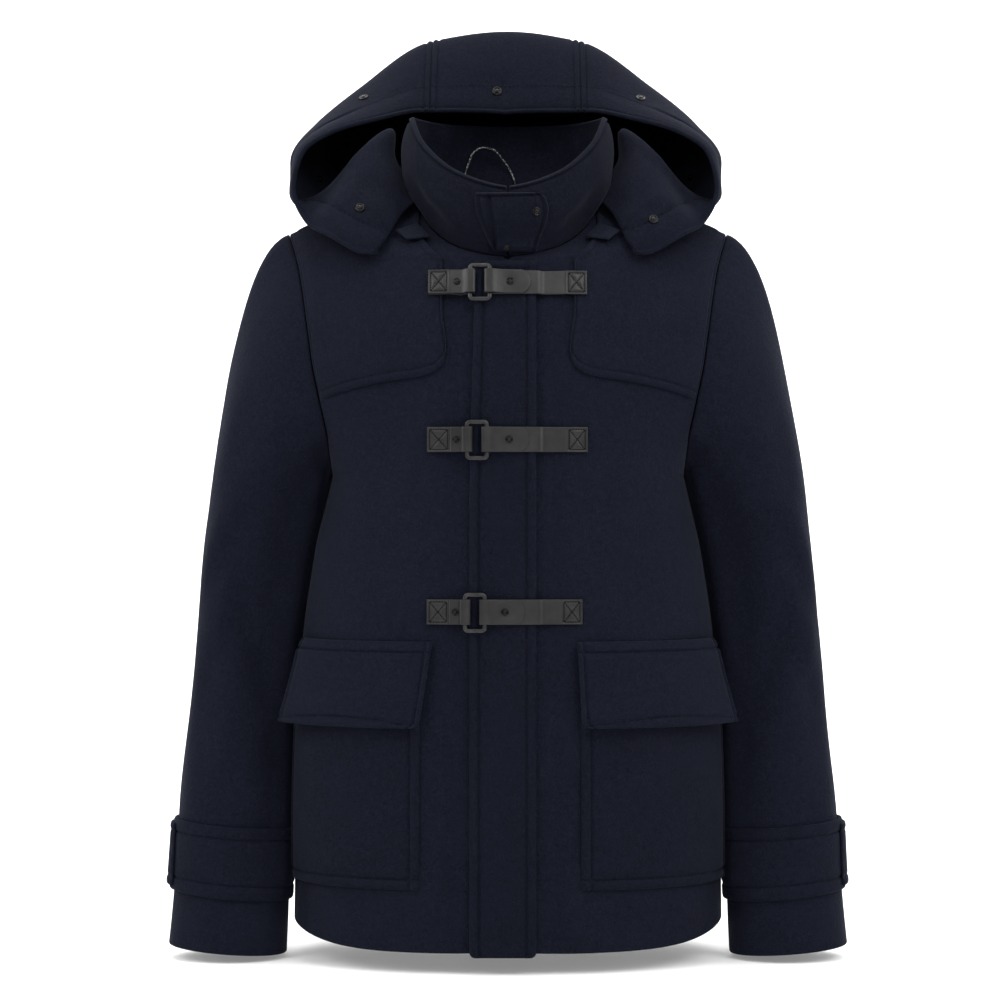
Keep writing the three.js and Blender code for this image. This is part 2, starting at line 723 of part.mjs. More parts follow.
// The worn hood leans a little to the wearer's right, more toward its free edge.
function hoodPoint(a, v, lift, side = 1) {
  const normal = surfaceNormal(hoodAt, a, v, [0, HOOD.length - 1, 0, 1], 1);
  const point = hoodAt(a, v).addScaledVector(normal, lift);
  point.x = point.x * side + HOOD_LEAN * v;
  return point;
}

const HOOD_SHARES = spread(0, 1, 15);
const HOOD_HALF = WALL / 2;

function buildHoodSide() {
  const rows = [0, 0.5, 1, 1.5, 2, 2.5, CREST_ROW, 3.35, 3.7, 4, 4.5, 5, 5.5, 6, 6.5, 7, 7.5, GUSSET_ROW - 0.004];
  const layer = (lift, side) => grid(rows, HOOD_SHARES, (a, v) => hoodPoint(a, v, lift, side));
  const panel = (side) => sheet(layer(HOOD_HALF, side), layer(-HOOD_HALF, side));
  add('hood_side_left', panel(1), WOOL);
  add('hood_side_right', panel(-1), WOOL);
}

function buildHoodCentre() {
  const half = [GUSSET_ROW + 0.004, 8.35, 8.7];
  const rows = [...half, 9, ...half.slice().reverse().map((a) => -a)];
  const layer = (lift) => grid(rows, HOOD_SHARES, (a, v) => {
    const p = hoodPoint(Math.abs(a), v, lift, Math.sign(a));
    if (a === 9) p.x = HOOD_LEAN * v;
    return p;
  });
  add('hood_centre', sheet(layer(HOOD_HALF), layer(-HOOD_HALF)), WOOL);
}

buildHoodSide();
buildHoodCentre();

// ---------------------------------------------------------------- placket
function placketRight(z) {
  const share = clamp((PLACKET.top - z) / 200, 0, 1);
  return PLACKET.rightTop + (PLACKET.right - PLACKET.rightTop) * share;
}

function buildPlacket() {
  const rows = [-1, ...BODY_ROWS.filter((at) => at < 13), 12.85];
  const shares = [0, 0.22, 0.423, 0.6, 0.8, 1];
  const layer = (lift) => grid(rows, shares, (at, u) => {
    const z = panelPoint(FRONT, Math.max(at, 0), 0).z;
    const x = PLACKET.left + (placketRight(z) - PLACKET.left) * u;
    const point = frontPoint(Math.max(at, 0), shareAtWidth(Math.abs(x), Math.max(at, 0)), lift);
    if (x < 0) point.x *= -1;
    if (at < 0) point.z -= PLACKET.drop;
    return point;
  });
  return sheet(layer(REST_GAP + PLACKET.wall), layer(REST_GAP));
}

add('placket', buildPlacket(), WOOL_DARK);

// ---------------------------------------------------------------- yokes
// u runs along the yoke away from the centre, v from its lower edge to the shoulder.
function yokePoint(u, v, lift) {
  const x = eased(YOKE_EDGE, 'x', u);
  const z = eased(YOKE_EDGE, 'z', u);
  const lowAt = rowAtHeight(z, 0.5);
  const lowShare = shareAtWidth(x, lowAt);
  const at = lowAt + (15.9 - lowAt) * v;
  const inner = shareAtWidth(53, Math.min(at, 13)) * clamp((15.4 - at) / 2.4, 0, 1) + 0.02;
  const across = clamp((lowShare - shareAtWidth(53, lowAt)) / (0.97 - shareAtWidth(53, lowAt)), 0, 1);
  const share = inner + (0.97 - inner) * across;
  return frontPoint(at, v === 0 ? Math.min(lowShare, 0.97) : share, lift);
}

function buildYoke() {
  const along = [0, 1, 2, 3, 3.5, 4, 4.5, 5, 5.4, 5.7, 6];
  const up = [0, 0.1, 0.2, 0.3, 0.4, 0.5, 0.6, 0.7, 0.8, 0.9, 1];
  const layer = (lift) => grid(along, up, (u, v) => yokePoint(u, v, lift));
  return sheet(layer(REST_GAP + OVERLAY + 0.2), layer(REST_GAP + 0.2));
}

addPair('yoke', buildYoke(), WOOL);

// ---------------------------------------------------------------- pockets and flaps
function pocketPoint(inner, u, v, lift) {
  const z = POCKET.top + (POCKET.bottom - POCKET.top) * v;
  const innerShare = shareAtWidth(inner, rowAtHeight(z, 0.3));
  const share = innerShare + (POCKET.reach - innerShare) * u;
  const puff = POCKET.puff * Math.sin(Math.PI * u) ** 0.7 * Math.sin(Math.PI * v) ** 0.7;
  return frontPoint(rowAtHeight(z, share), share, lift + puff);
}

function flapPoint(pocket, u, v, lift) {
  const z = FLAP.top + (FLAP.bottom - FLAP.top) * v;
  const inner = pocket.flapInner + (pocket.flapInnerLow - pocket.flapInner) * v;
  const innerShare = shareAtWidth(inner, rowAtHeight(z, 0.3));
  const reach = FLAP.topReach + (FLAP.lowReach - FLAP.topReach) * v;
  const share = innerShare + (reach - innerShare) * u;
  const overPocket = clamp(v / 0.16, 0, 1) * (OVERLAY + REST_GAP + POCKET.puff * 0.3);
  const stand = v ** 1.4 * (FLAP.standFront + (FLAP.standSide - FLAP.standFront) * u ** 2.2);
  return frontPoint(rowAtHeight(z, share), share, lift + overPocket + stand);
}

function sided(geometry, side) {
  return side < 0 ? mirrored(geometry) : geometry;
}

function buildPockets() {
  POCKETS.forEach((pocket) => {
    const across = spread(0, 1, 10);
    const bag = (lift) => grid(spread(0, 1, 6), across, (v, u) => pocketPoint(pocket.inner, u, v, lift));
    const body = sheet(bag(REST_GAP + OVERLAY), bag(REST_GAP));
    add(`pocket_${pocket.name}`, sided(body, pocket.side), WOOL_DARK);
    const drops = [0, 0.16, 0.35, 0.6, 0.85, 1];
    const cover = (lift) => grid(drops, across, (v, u) => flapPoint(pocket, u, v, lift));
    const flap = sheet(cover(REST_GAP + WALL), cover(REST_GAP));
    add(`pocket_flap_${pocket.name}`, sided(flap, pocket.side), WOOL);
  });
}

buildPockets();

// ---------------------------------------------------------------- fastenings
const PLACKET_TOP_FACE = REST_GAP + PLACKET.wall;
const RING_LIFT = PLACKET_TOP_FACE + 0.7 + STRAP_WALL + 0.4;

// A strap is a strip folded round the ring's bar. The path gives the middle of the leather
// as distance across and height off the cloth. The last points can be cut to a round end.
function foldedStrap(path, z, roundEnd) {
  const last = path.length - 1;
  const widths = roundEnd ? [-1, -0.7, 0, 0.7, 1] : [-1, 0, 1];
  const layer = (side) => widths.map((w) => path.map(([x, h], i) => {
    const before = path[Math.max(i - 1, 0)];
    const after = path[Math.min(i + 1, last)];
    const length = Math.hypot(after[0] - before[0], after[1] - before[1]);
    const off = (side * STRAP_WALL) / 2 / length;
    const cut = roundEnd && i > last - 2 ? (i === last ? 8 : 4) * (1 - Math.sqrt(1 - w * w * 0.96)) : 0;
    const across = x - cut - off * (after[1] - before[1]);
    return frontAt(across, z + (w * STRAP_WIDTH) / 2, h + off * (after[0] - before[0]));
  }));
  return sheet(layer(1), layer(-1));
}

const LOW_LAYER = REST_GAP + STRAP_WALL / 2;
const PLACKET_LAYER = PLACKET_TOP_FACE + LOW_LAYER;
const OVER_BAR = RING_LIFT + RING.wall + 0.4 + STRAP_WALL / 2;

// Round the bar, from under it to over it. Toward is the side the fold faces.
function barTurn(bar, toward) {
  const reach = RING.bar / 2 + 0.7 + STRAP_WALL / 2;
  const middle = RING_LIFT + RING.wall / 2;
  return [
    [bar - toward * 2, PLACKET_LAYER],
    [bar + toward * 2.4, PLACKET_LAYER + 0.1],
    [bar + toward * reach, middle - 1.1],
    [bar + toward * reach, middle + 1.1],
    [bar + toward * 2.4, OVER_BAR - 0.05],
    [bar - toward * 2, OVER_BAR],
  ];
}

function smallStudLift(row) {
  return LOW_LAYER + Math.max(row.under + 2.1, 4);
}

// Wearer's right: both layers sewn down at the square end.
function rightStrap(row) {
  const bar = row.ringX - RING.width / 2 + RING.bar / 2;
  const clear = Math.min(bar - 3, placketRight(row.z) - 1.5);
  const low = LOW_LAYER + row.under;
  return foldedStrap([
    [row.squareFrom, low],
    [row.squareTo, low],
    [clear - 6, LOW_LAYER + 0.6],
    [clear, PLACKET_LAYER],
    ...barTurn(bar, 1),
    [clear - 1, OVER_BAR - 0.9],
    [row.smallStud + 4, smallStudLift(row)],
    [row.smallStud - 4, smallStudLift(row)],
    [row.squareTo, low + STRAP_WALL + 0.6],
    [row.squareFrom, low + STRAP_WALL + 0.3],
  ], row.z, false);
}

// Wearer's left: sewn down at the far end, folded round the bar, back to a round tongue.
function leftStrap(row) {
  const bar = row.ringX + RING.width / 2 - RING.bar / 2;
  return foldedStrap([
    [row.farTo, LOW_LAYER + row.under],
    [row.farTo - 8, LOW_LAYER + row.under],
    [51.5, LOW_LAYER + row.under],
    [PLACKET.left + 7, LOW_LAYER + 0.8 + row.under * 0.4],
    [PLACKET.left + 1, PLACKET_LAYER],
    [12, PLACKET_LAYER],
    [0, PLACKET_LAYER],
    ...barTurn(bar, -1),
    [bar + 7, OVER_BAR - 1.2],
    [bar + 13, PLACKET_LAYER + STRAP_WALL + 0.9],
    [row.tongue - 9, PLACKET_LAYER + STRAP_WALL + 0.4],
    [row.tongue - 4, PLACKET_LAYER + STRAP_WALL + 0.3],
    [row.tongue, PLACKET_LAYER + STRAP_WALL + 0.3],
  ], row.z, true);
}

function ringOutline(width, height, corner) {
  const quarter = spread(0, Math.PI / 2, 3);
  const centres = [[1, 1, 0], [-1, 1, 1], [-1, -1, 2], [1, -1, 3]];
  return centres.flatMap(([sx, sz, turn]) => quarter.map((a) => [
    sx * (width / 2 - corner) + corner * Math.cos(a + turn * Math.PI / 2),
    sz * (height / 2 - corner) + corner * Math.sin(a + turn * Math.PI / 2),
  ]));
}

function buildRing(row) {
  const outer = ringOutline(RING.width, RING.height, 4);
  const inner = ringOutline(RING.width - 2 * RING.bar, RING.height - 2 * RING.bar, 0.8);
  const place = ([x, z], lift) => frontAt(row.ringX + x, row.z + z, lift);
  const sections = outer.map((p, i) => [
    place(p, RING_LIFT),
    place(p, RING_LIFT + RING.wall),
    place(inner[i], RING_LIFT + RING.wall),
    place(inner[i], RING_LIFT),
  ]);
  return bentBar(sections, true);
}

const STUD_PROFILE = [[1, 0], [1, 0.35], [0.7, 0.85], [0.25, 1]];

function stud(radius, height, foot, top) {
  return turnedCap(STUD_PROFILE.map(([r, h]) => [r * radius, h * height]), 8, foot, top);
}

function buildFastenings() {
  FASTENINGS.forEach((row) => {
    add(`strap_right_${row.name}`, rightStrap(row), LEATHER, 0.55, 0);
    add(`strap_left_${row.name}`, leftStrap(row), LEATHER, 0.55, 0);
    add(`ring_${row.name}`, buildRing(row), METAL, 0.35, 0.85);
    const tongueTop = PLACKET_LAYER + 1.5 * STRAP_WALL + 0.9;
    const main = (lift) => frontAt(row.stud, row.z, lift);
    add(`strap_stud_left_${row.name}`, stud(STUD_RADIUS, 1.8, main(tongueTop), main(20)), METAL, 0.35, 0.85);
    const small = (lift) => frontAt(row.smallStud, row.z, lift);
    const smallTop = smallStudLift(row) + STRAP_WALL / 2 + 0.5;
    add(`strap_stud_right_${row.name}`, stud(3.4, 1.6, small(smallTop), small(20)), METAL, 0.35, 0.85);
  });
}

buildFastenings();

// ---------------------------------------------------------------- small neck tabs
const NECK_TAB = table(['x', 'z', 'lift'], [
  [97, -17, 7],
  [86, -27, 8],
  [67, -21, 3],
  [79, -8, 4],
]);

function neckTabPoint(u, v, lift) {
  const mix = (name) => {
    const [a, b, c, d] = NECK_TAB.map((row) => row[name]);
    return (a * (1 - u) + b * u) * (1 - v) + (d * (1 - u) + c * u) * v;
  };
  return frontAt(mix('x'), mix('z'), mix('lift') + lift);
}

function buildNeckTab() {
  const layer = (lift) => grid(spread(0, 1, 2), spread(0, 1, 3), (u, v) => neckTabPoint(u, v, lift));
  return sheet(layer(2), layer(0));
}

addPair('hood_neck_tab', buildNeckTab(), WOOL_DARK);

// ---------------------------------------------------------------- hood and collar studs
// Press studs on the hood: place on its surface, side of the wearer, and the face they sit on,
// 1 for the face toward the wearer's head and -1 for the outer face. A stud in a hollow of the
// cloth stands further off it.
const HOOD_STUDS = table(['name', 'a', 'v', 'side', 'face', 'radius', 'stand'], [
  ['centre', 8.9, 0.945, -1, -1, 5.2, 0.9],
  ['side_left', 7, 0.9, 1, -1, 5.2, -0.1],
  ['side_right', 6.9, 0.885, -1, -1, 5.2, 0.1],
  ['inner_left', 5.38, 0.645, 1, 1, 3.6, 2.2],
  ['inner_right', 5.28, 0.655, -1, 1, 3.6, 2.2],
  ['lappet_left', 1.45, 0.795, 1, 1, 5, 0.5],
  ['lappet_right', 1.5, 0.72, -1, 1, 5, 0.5],
]);

function buildStuds() {
  HOOD_STUDS.forEach((row) => {
    const foot = hoodPoint(row.a, row.v, row.face * (HOOD_HALF + row.stand), row.side);
    const top = hoodPoint(row.a, row.v, row.face * 20, row.side);
    add(`hood_stud_${row.name}`, stud(row.radius, 2, foot, top), METAL, 0.35, 0.85);
  });
  const tab = collarFrontAt(23.5, 0.5, REST_GAP + 3.8);
  add('collar_tab_stud', stud(5, 2, tab, collarFrontAt(23.5, 0.5, 20)), METAL, 0.35, 0.85);
  const low = collarFrontAt(-1, -30, REST_GAP + 4.5);
  add('collar_base_stud', stud(2.4, 1.5, low, collarFrontAt(-1, -30, 20)), METAL, 0.35, 0.85);
}

buildStuds();

// ---------------------------------------------------------------- hanger loop
const LOOP_PATH = table(['x', 'z', 'stand'], [
  [-42, 43, 2.4],
  [-38, 58, 3.4],
  [-31.5, 73, 6],
  [-23, 77.5, 8],
  [-14, 76, 8],
  [-5.5, 68, 6],
  [2, 57, 3.4],
  [7, 43, 2.4],
]);

// A point inside the back of the collar, standing off its wall.
function insideCollarAt(x, z, stand) {
  let h = 0.9;
  let v = 0.5;
  for (let i = 0; i < 30; i += 1) {
    const p = collarPoint(h, v, -COLLAR_WALL - stand);
    h = clamp(h + (p.x - Math.abs(x)) / 260, 0.5, 1);
    v = clamp(v + (z - p.z) / 70, 0, 1);
  }
  const p = collarPoint(h, v, -COLLAR_WALL - stand);
  if (x < 0) p.x *= -1;
  return p;
}

function loopPoint(at) {
  const read = (name) => eased(LOOP_PATH, name, at);
  return insideCollarAt(read('x'), read('z'), read('stand'));
}

function buildLoop() {
  const sections = spread(0, LOOP_PATH.length - 1, 16).map((k) => {
    const ahead = loopPoint(k + 0.05).sub(loopPoint(k - 0.05)).normalize();
    const side = new THREE.Vector3(0, 1, 0).cross(ahead).normalize();
    const over = ahead.clone().cross(side).normalize();
    return spread(0, 2 * Math.PI, 6).slice(0, 6).map((angle) => loopPoint(k)
      .addScaledVector(side, LOOP_RADIUS * Math.cos(angle))
      .addScaledVector(over, LOOP_RADIUS * Math.sin(angle)));
  });
  return bentBar(sections, false);
}

add('hanger_loop', buildLoop(), LOOP_COLOUR, 0.8, 0);

export default group;
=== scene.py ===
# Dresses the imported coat: felted wool cloth, leather straps, dark metal, sewing and soft folds.
# Lengths are in millimetres until a mesh is made. The coat's front faces -Y, its left is +X.
import math

import bmesh
import bpy
import numpy as np
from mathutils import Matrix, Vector


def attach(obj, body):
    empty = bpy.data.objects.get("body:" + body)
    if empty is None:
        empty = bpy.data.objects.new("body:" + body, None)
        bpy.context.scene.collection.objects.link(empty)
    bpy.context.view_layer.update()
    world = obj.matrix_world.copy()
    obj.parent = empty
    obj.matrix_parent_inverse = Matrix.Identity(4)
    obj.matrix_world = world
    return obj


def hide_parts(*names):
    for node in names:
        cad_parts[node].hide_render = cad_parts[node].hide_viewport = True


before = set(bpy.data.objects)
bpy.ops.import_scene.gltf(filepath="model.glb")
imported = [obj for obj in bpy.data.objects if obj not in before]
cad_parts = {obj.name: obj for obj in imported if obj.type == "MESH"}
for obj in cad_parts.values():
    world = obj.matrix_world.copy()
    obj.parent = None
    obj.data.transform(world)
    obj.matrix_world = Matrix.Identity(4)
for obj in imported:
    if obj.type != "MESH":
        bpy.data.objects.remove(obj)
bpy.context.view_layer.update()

MM = 0.001
WALL = 3.0
COLLAR_WALL = 4
# Pieces stand this far apart at a seam, and where one rests on another.
SEAM_GAP = 0.3
REST_GAP = 0.7
OVERLAY = 2.5
SIDES = ((1, "left"), (-1, "right"))
# Rows of the tables FRONT and BACK: under the arm, at the pit of the neck and at the shoulder seam.
UNDERARM_ROW = 5
NECK_ROW = 13
TOP_ROW = 16

# ---------------------------------------------------------------- tables and easing


def table(columns, rows):
    return {name: np.array([row[i] for row in rows], float) for i, name in enumerate(columns)}


PANEL = ["edgeX", "edgeY", "edgeZ", "startX", "startY", "startZ", "power", "close", "fall", "swell"]
FRONT = table(PANEL, [
    [191.5, 0, -621, 0, -121, -636, 2.5, 0.4, 6, 0],
    [191, 0, -540, 0, -121, -543, 2.5, 0.4, 3, 0],
    [188.8, 0, -455, 0, -121, -455, 2.5, 0.4, 2, 0],
    [184, 0, -370, 0, -120, -370, 2.5, 0.4, 2, 0],
    [172.5, 0, -295, 0, -119, -295, 2.55, 0.392, 2, 0],
    [157, 0, -226, 0, -119, -226, 2.7, 0.37, 2, 0],
    [156.5, -19, -223.5, 0, -119, -223, 2.6, 0.433, 2, 0],
    [156.8, -36, -215, 0, -119, -215, 2.5, 0.527, 2, 0],
    [159, -58, -190, 0, -119, -190, 2.3, 0.745, 2, 0],
    [165, -66, -162, 0, -118.5, -162, 2.2, 0.9, 2, 0],
    [171.5, -67, -131, 0, -117, -131, 2.1, 0.95, 2, 0],
    [176.5, -61, -97, 0, -112.5, -97, 2.1, 1, 2, 0],
    [181, -50, -68, 0, -105, -68, 2, 1, 2, 0],
    [186, -35, -42, 0, -93.5, -37, 1.9, 1, 1.8, 0],
    [191.5, -20, -24, 40, -82, -29, 1.6, 1, 1.6, 0],
    [195, -11, -14, 70, -50, -5, 1.3, 1, 1.6, 0],
    [196, -6, -10.5, 81, -4, 25, 1.1, 1, 1.6, 0],
])
BACK = table(PANEL, [
    [191.5, 0, -621, 0, 113, -623, 2.5, 0.4, 2, 0],
    [191, 0, -540, 0, 112, -540, 2.5, 0.4, 2, 0],
    [188.8, 0, -455, 0, 109, -455, 2.5, 0.4, 2, 0],
    [184, 0, -370, 0, 106, -370, 2.5, 0.4, 2, 3],
    [172.5, 0, -295, 0, 106, -295, 2.55, 0.392, 2, 5],
    [157, 0, -226, 0, 109, -226, 2.7, 0.37, 2, 4],
    [156.5, 19, -223.5, 0, 109.5, -223, 2.6, 0.433, 2, 3],
    [156.8, 35, -215, 0, 110, -214, 2.5, 0.527, 2, 2],
    [159, 55, -190, 0, 111.5, -188, 2.3, 0.745, 2, 0],
    [165, 64, -162, 0, 112.5, -158, 2.2, 0.9, 2, 0],
    [171.5, 66, -131, 0, 112.5, -124, 2.1, 0.95, 2, 0],
    [177, 62, -97, 0, 109, -84, 2.1, 1, 2, 0],
    [183, 53, -64, 0, 99, -38, 2, 1, 1.8, 0],
    [190, 38, -36, 0, 63, 35, 1.7, 1, 1.3, 0],
    [195, 22, -16, 36, 58, 35, 1.5, 1, 1.4, 0],
    [197, 8, -7.5, 66, 38, 34, 1.3, 1, 1.5, 0],
    [196, -6, -10.5, 81, -4, 25, 1.1, 1, 1.6, 0],
])
SLEEVE = table(["z", "inner", "outer", "midY", "depth", "tilt", "rise"], [
    [-252, 170.5, 264.5, 6, 136, 0.2, 0],
    [-307, 182, 270, 9, 127, 0.26, 0.01],
    [-370, 190, 276.5, 8, 117, 0.28, 0.03],
    [-445, 193.5, 285.5, 3, 107, 0.2, 0.06],
    [-517, 194.8, 293, -7, 98, 0.08, 0.09],
    [-590, 195.3, 297, -17, 90, 0, 0.1],
    [-646, 197, 301.8, -23, 84, 0, 0.08],
])
CAP_PULL = table(["x", "y", "z", "pull"], [
    [0.98, -0.05, -0.17, 132],
    [0.86, -0.14, -0.45, 66],
    [0.92, 0, 0.12, 24],
    [0.86, 0.2, -0.45, 66],
    [0.98, -0.05, -0.17, 132],
])
COLLAR_TOP = table(["x", "y", "z", "bulge"], [
    [0, -97, 24, 9],
    [45, -88, 38.5, 10],
    [78, -56, 71, 11],
    [87, -8, 96, 12],
    [70, 42, 98, 9],
    [38, 64, 98, 6],
    [0, 70, 98, 6],
])
HOOD = table(
    ["ring", "up", "ax", "ay", "az", "bx", "by", "bz", "cx", "cy", "cz", "dx", "dy", "dz", "ex", "ey", "ez"],
    [
        [0.38, 0.16, 93, -50, 4, 98, -60, -6, 103, -68, -16, 108, -76, -25, 112.5, -83, -32],
        [0.4, 0.17, 97, -42, 22, 105, -52, 17, 112, -63, 4, 118, -74, -14, 124, -82, -34],
        [0.43, 0.18, 103, -26, 46, 116, -26, 59, 132, -43, 38, 145, -59, 8, 153.5, -71, -18],
        [0.47, 0.2, 102, 0, 62, 104.5, 3, 86, 136, -20, 59, 163, -36, 16, 175.5, -49, -4],
        [0.55, 0.22, 100, 30, 52, 122, 46, 34, 158, 50, 22, 190.5, 0, 23, 188, -38, 30],
        [0.62, 0.24, 95, 60, 44, 126, 84, 18, 168, 84, 36, 193, 18, 56, 180, -33, 61],
        [0.69, 0.25, 82, 84, 40, 120, 118, 20, 165, 122, 68, 172, 46, 95, 155, -23, 80],
        [0.77, 0.25, 58, 100, 38, 92, 146, 26, 130, 158, 98, 131, 74, 136, 115, 2, 95],
        [0.88, 0.25, 30, 104, 36, 50, 163, 28, 67, 188, 110, 68, 98, 181, 70, 38, 107],
        [1, 0.25, 0, 104, 35, 0, 167, 28, 0, 196, 114, 0, 101, 190, 0, 48, 106],
    ],
)
HOOD_LEAN = -2.5
# Rows of HOOD: where the gusset starts, and the middle of the hood.
GUSSET_ROW = 8
CROWN_ROW = 9
PLACKET = {"left": 24, "rightTop": -28, "right": -32.8, "top": -43, "drop": 3, "wall": 3}
CUFF_BAND = {"top": -534.5, "bottom": -597.5, "wall": 3}
POCKET = {"top": -379, "bottom": -582, "reach": 0.9, "puff": 3}
FLAP = {"top": -369, "bottom": -443, "topReach": 0.82, "lowReach": 0.8, "standFront": 5, "standSide": 17}
POCKETS = [
    {"side": -1, "name": "right", "inner": 75.5, "flapInner": 64, "flapInnerLow": 74.5},
    {"side": 1, "name": "left", "inner": 62.5, "flapInner": 58.5, "flapInnerLow": 62},
]
YOKE_EDGE = table(["x", "z"], [
    [53, -118], [54.5, -128], [60, -136], [72, -141], [100, -145], [130, -151], [160, -160],
])
THROAT_TAB = table(["z", "from", "to"], [
    [-33, -12, 24], [-22, -18, 28], [-10, -23, 32], [3, -27, 34], [12, -28, 32], [17.5, -26, 26],
])
NECK_TAB = table(["x", "z", "lift"], [[97, -17, 7], [86, -27, 8], [67, -21, 3], [79, -8, 4]])


def slopes(v):
    """Slopes of a smooth curve through the values, which never swings past them."""
    steps = np.diff(v)
    out = np.zeros(len(v))
    for k in range(1, len(v) - 1):
        product = steps[k - 1] * steps[k]
        if product > 0:
            out[k] = 2 * product / (steps[k - 1] + steps[k])
    second, last_but_one = steps[min(1, len(steps) - 1)], steps[max(-2, -len(steps))]
    for end, near, far in ((0, steps[0], second), (-1, steps[-1], last_but_one)):
        value = (3 * near - far) / 2
        out[end] = value if value * near > 0 else 0
    return out


def eased(v, at):
    """The smooth curve through v, read at a row number."""
    last = len(v) - 1
    place = np.clip(at, 0, last)
    i = np.minimum(np.floor(place).astype(int), last - 1)
    f = place - i
    m = slopes(v)
    a, b, rise = m[i], m[i + 1], v[i + 1] - v[i]
    return v[i] + f * (a + f * (3 * rise - 2 * a - b + f * (a + b - 2 * rise)))


def straight(v, at):
    return np.interp(at, np.arange(len(v)), v)


def panel_column(rows, name, at):
    """A column of FRONT or BACK, with a corner at the row where the side or the middle turns."""
    corner = NECK_ROW if name.startswith("start") else UNDERARM_ROW
    v = rows[name]
    low = eased(v[:corner + 1], at)
    read = straight if name.startswith("edge") else eased
    return np.where(at <= corner, low, read(v[corner:], at - corner))


def smooth(value, low, high):
    t = np.clip((value - low) / (high - low), 0, 1)
    return t * t * (3 - 2 * t)


def unit(v):
    return v / np.maximum(np.linalg.norm(v, axis=-1, keepdims=True), 1e-9)


def floats(*values):
    """The values as arrays of one shape."""
    return np.broadcast_arrays(*[np.asarray(value, float) for value in values])


def stack(x, y, z):
    return np.stack(floats(x, y, z), axis=-1)


def to_side(point, x):
    """Mirrors the points where x is negative."""
    point[..., 0] *= np.where(x < 0, -1, 1)
    return point


# ---------------------------------------------------------------- the coat's surfaces


def panel_point(rows, at, s):
    """A point of the bare body. at is the row, s runs from 0 at the middle to 1 at the side or armhole.
    Each row is a curve, squarer for a higher power, that turns in more gently for a higher close."""
    at, s = floats(at, s)
    c = {name: panel_column(rows, name, at) for name in PANEL}
    opened = np.clip((c["close"] - 0.42) / 0.58, 0, 1)
    rounded = np.sin(np.clip(s, 0, 1) * np.pi / 2) ** (2 / c["power"])
    r = rounded * (1 - opened) + s * opened
    depth = np.maximum(0, 1 - r ** c["power"]) ** c["close"]
    return stack(
        c["startX"] + (c["edgeX"] - c["startX"]) * r + c["swell"] * s ** 5 * (1 - s) * 15,
        c["edgeY"] + (c["startY"] - c["edgeY"]) * depth,
        c["startZ"] + (c["edgeZ"] - c["startZ"]) * r ** c["fall"],
    )


def normal_of(surface, a, b, limits, sign):
    """The surface's direction outward, from points a little apart inside its limits."""
    e = 0.002
    low = lambda v, edge: np.maximum(v - e, edge)
    high = lambda v, edge: np.minimum(v + e, edge)
    across = surface(a, high(b, limits[3])) - surface(a, low(b, limits[2]))
    up = surface(high(a, limits[1]), b) - surface(low(a, limits[0]), b)
    return unit(np.cross(across, up)) * sign


def body_normal(rows, at, s):
    sign = 1 if rows is FRONT else -1
    return normal_of(lambda a, b: panel_point(rows, a, b), at, s, (0, TOP_ROW, 0, 1), sign)


def body_point(rows, at, s, lift):
    """A point of a front or of half the back, moved out by lift. Both share one direction at the shoulder."""
    at, s = floats(at, s)
    own = body_normal(rows, at, s)
    top = np.full_like(s, TOP_ROW)
    shared = unit(body_normal(FRONT, top, s) + body_normal(BACK, top, s))
    w = smooth(at, TOP_ROW - 1, TOP_ROW)[..., None]
    return panel_point(rows, at, s) + unit(own * (1 - w) + shared * w) * np.asarray(lift)[..., None]


def front_point(at, s, lift):
    return body_point(FRONT, at, s, np.asarray(lift, float) + 0 * at * s)


def bisect(low, high, below):
    """Halves the range where below(middle) is true, on whole arrays."""
    for _ in range(19):
        middle = (low + high) / 2
        is_low = below(middle)
        low = np.where(is_low, middle, low)
        high = np.where(is_low, high, middle)
    return (low + high) / 2


def row_at_height(z, s):
    z, s = floats(z, s)
    return bisect(np.zeros_like(z), np.full_like(z, TOP_ROW), lambda m: panel_point(FRONT, m, s)[..., 2] < z)


def share_at_width(x, at):
    x, at = floats(x, at)
    return bisect(np.zeros_like(x), np.ones_like(x), lambda m: panel_point(FRONT, at, m)[..., 0] < x)


def front_at(x, z, lift):
    """The front's point at x and z, found by turns from its row and its share of the width."""
    x, z = floats(x, z)
    s = np.zeros_like(x)
    at = row_at_height(z, s)
    for _ in range(3):
        s = share_at_width(np.abs(x), at)
        at = row_at_height(z, s)
    return to_side(front_point(at, s, lift), x)


def armhole_table():
    """Rows down the front and up the back of the armhole, and the turn of the sleeve that meets each."""
    front = np.linspace(TOP_ROW, UNDERARM_ROW, 200)
    back = front[::-1]
    lengths = []
    for rows, at in ((FRONT, front), (BACK, back)):
        p = panel_point(rows, at, np.ones_like(at))
        lengths.append(np.concatenate([[0], np.cumsum(np.linalg.norm(np.diff(p, axis=0), axis=1))]))
    return front, lengths[0] / lengths[0][-1] / 2, back, 0.5 + lengths[1] / lengths[1][-1] / 2


HOLE_FRONT, HOLE_FRONT_TURN, HOLE_BACK, HOLE_BACK_TURN = armhole_table()
# The sleeve's two seams meet the armhole at row 7 in front and row 8 behind.
SEAM_FRONT = float(np.interp(-7, -HOLE_FRONT, HOLE_FRONT_TURN))
SEAM_BACK = float(np.interp(8, HOLE_BACK, HOLE_BACK_TURN))


def armhole_point(turn):
    one = np.ones_like(turn)
    front = panel_point(FRONT, np.interp(turn, HOLE_FRONT_TURN, HOLE_FRONT), one)
    back = panel_point(BACK, np.interp(turn, HOLE_BACK_TURN, HOLE_BACK), one)
    return np.where((turn <= 0.5)[..., None], front, back)


SLEEVE_ROWS = 6
ARM_END = SLEEVE_ROWS + 1
COLLAR_ROWS = 6
# Half the collar is about this long and this high.
COLLAR_REACH = 260
COLLAR_HEIGHT = 70


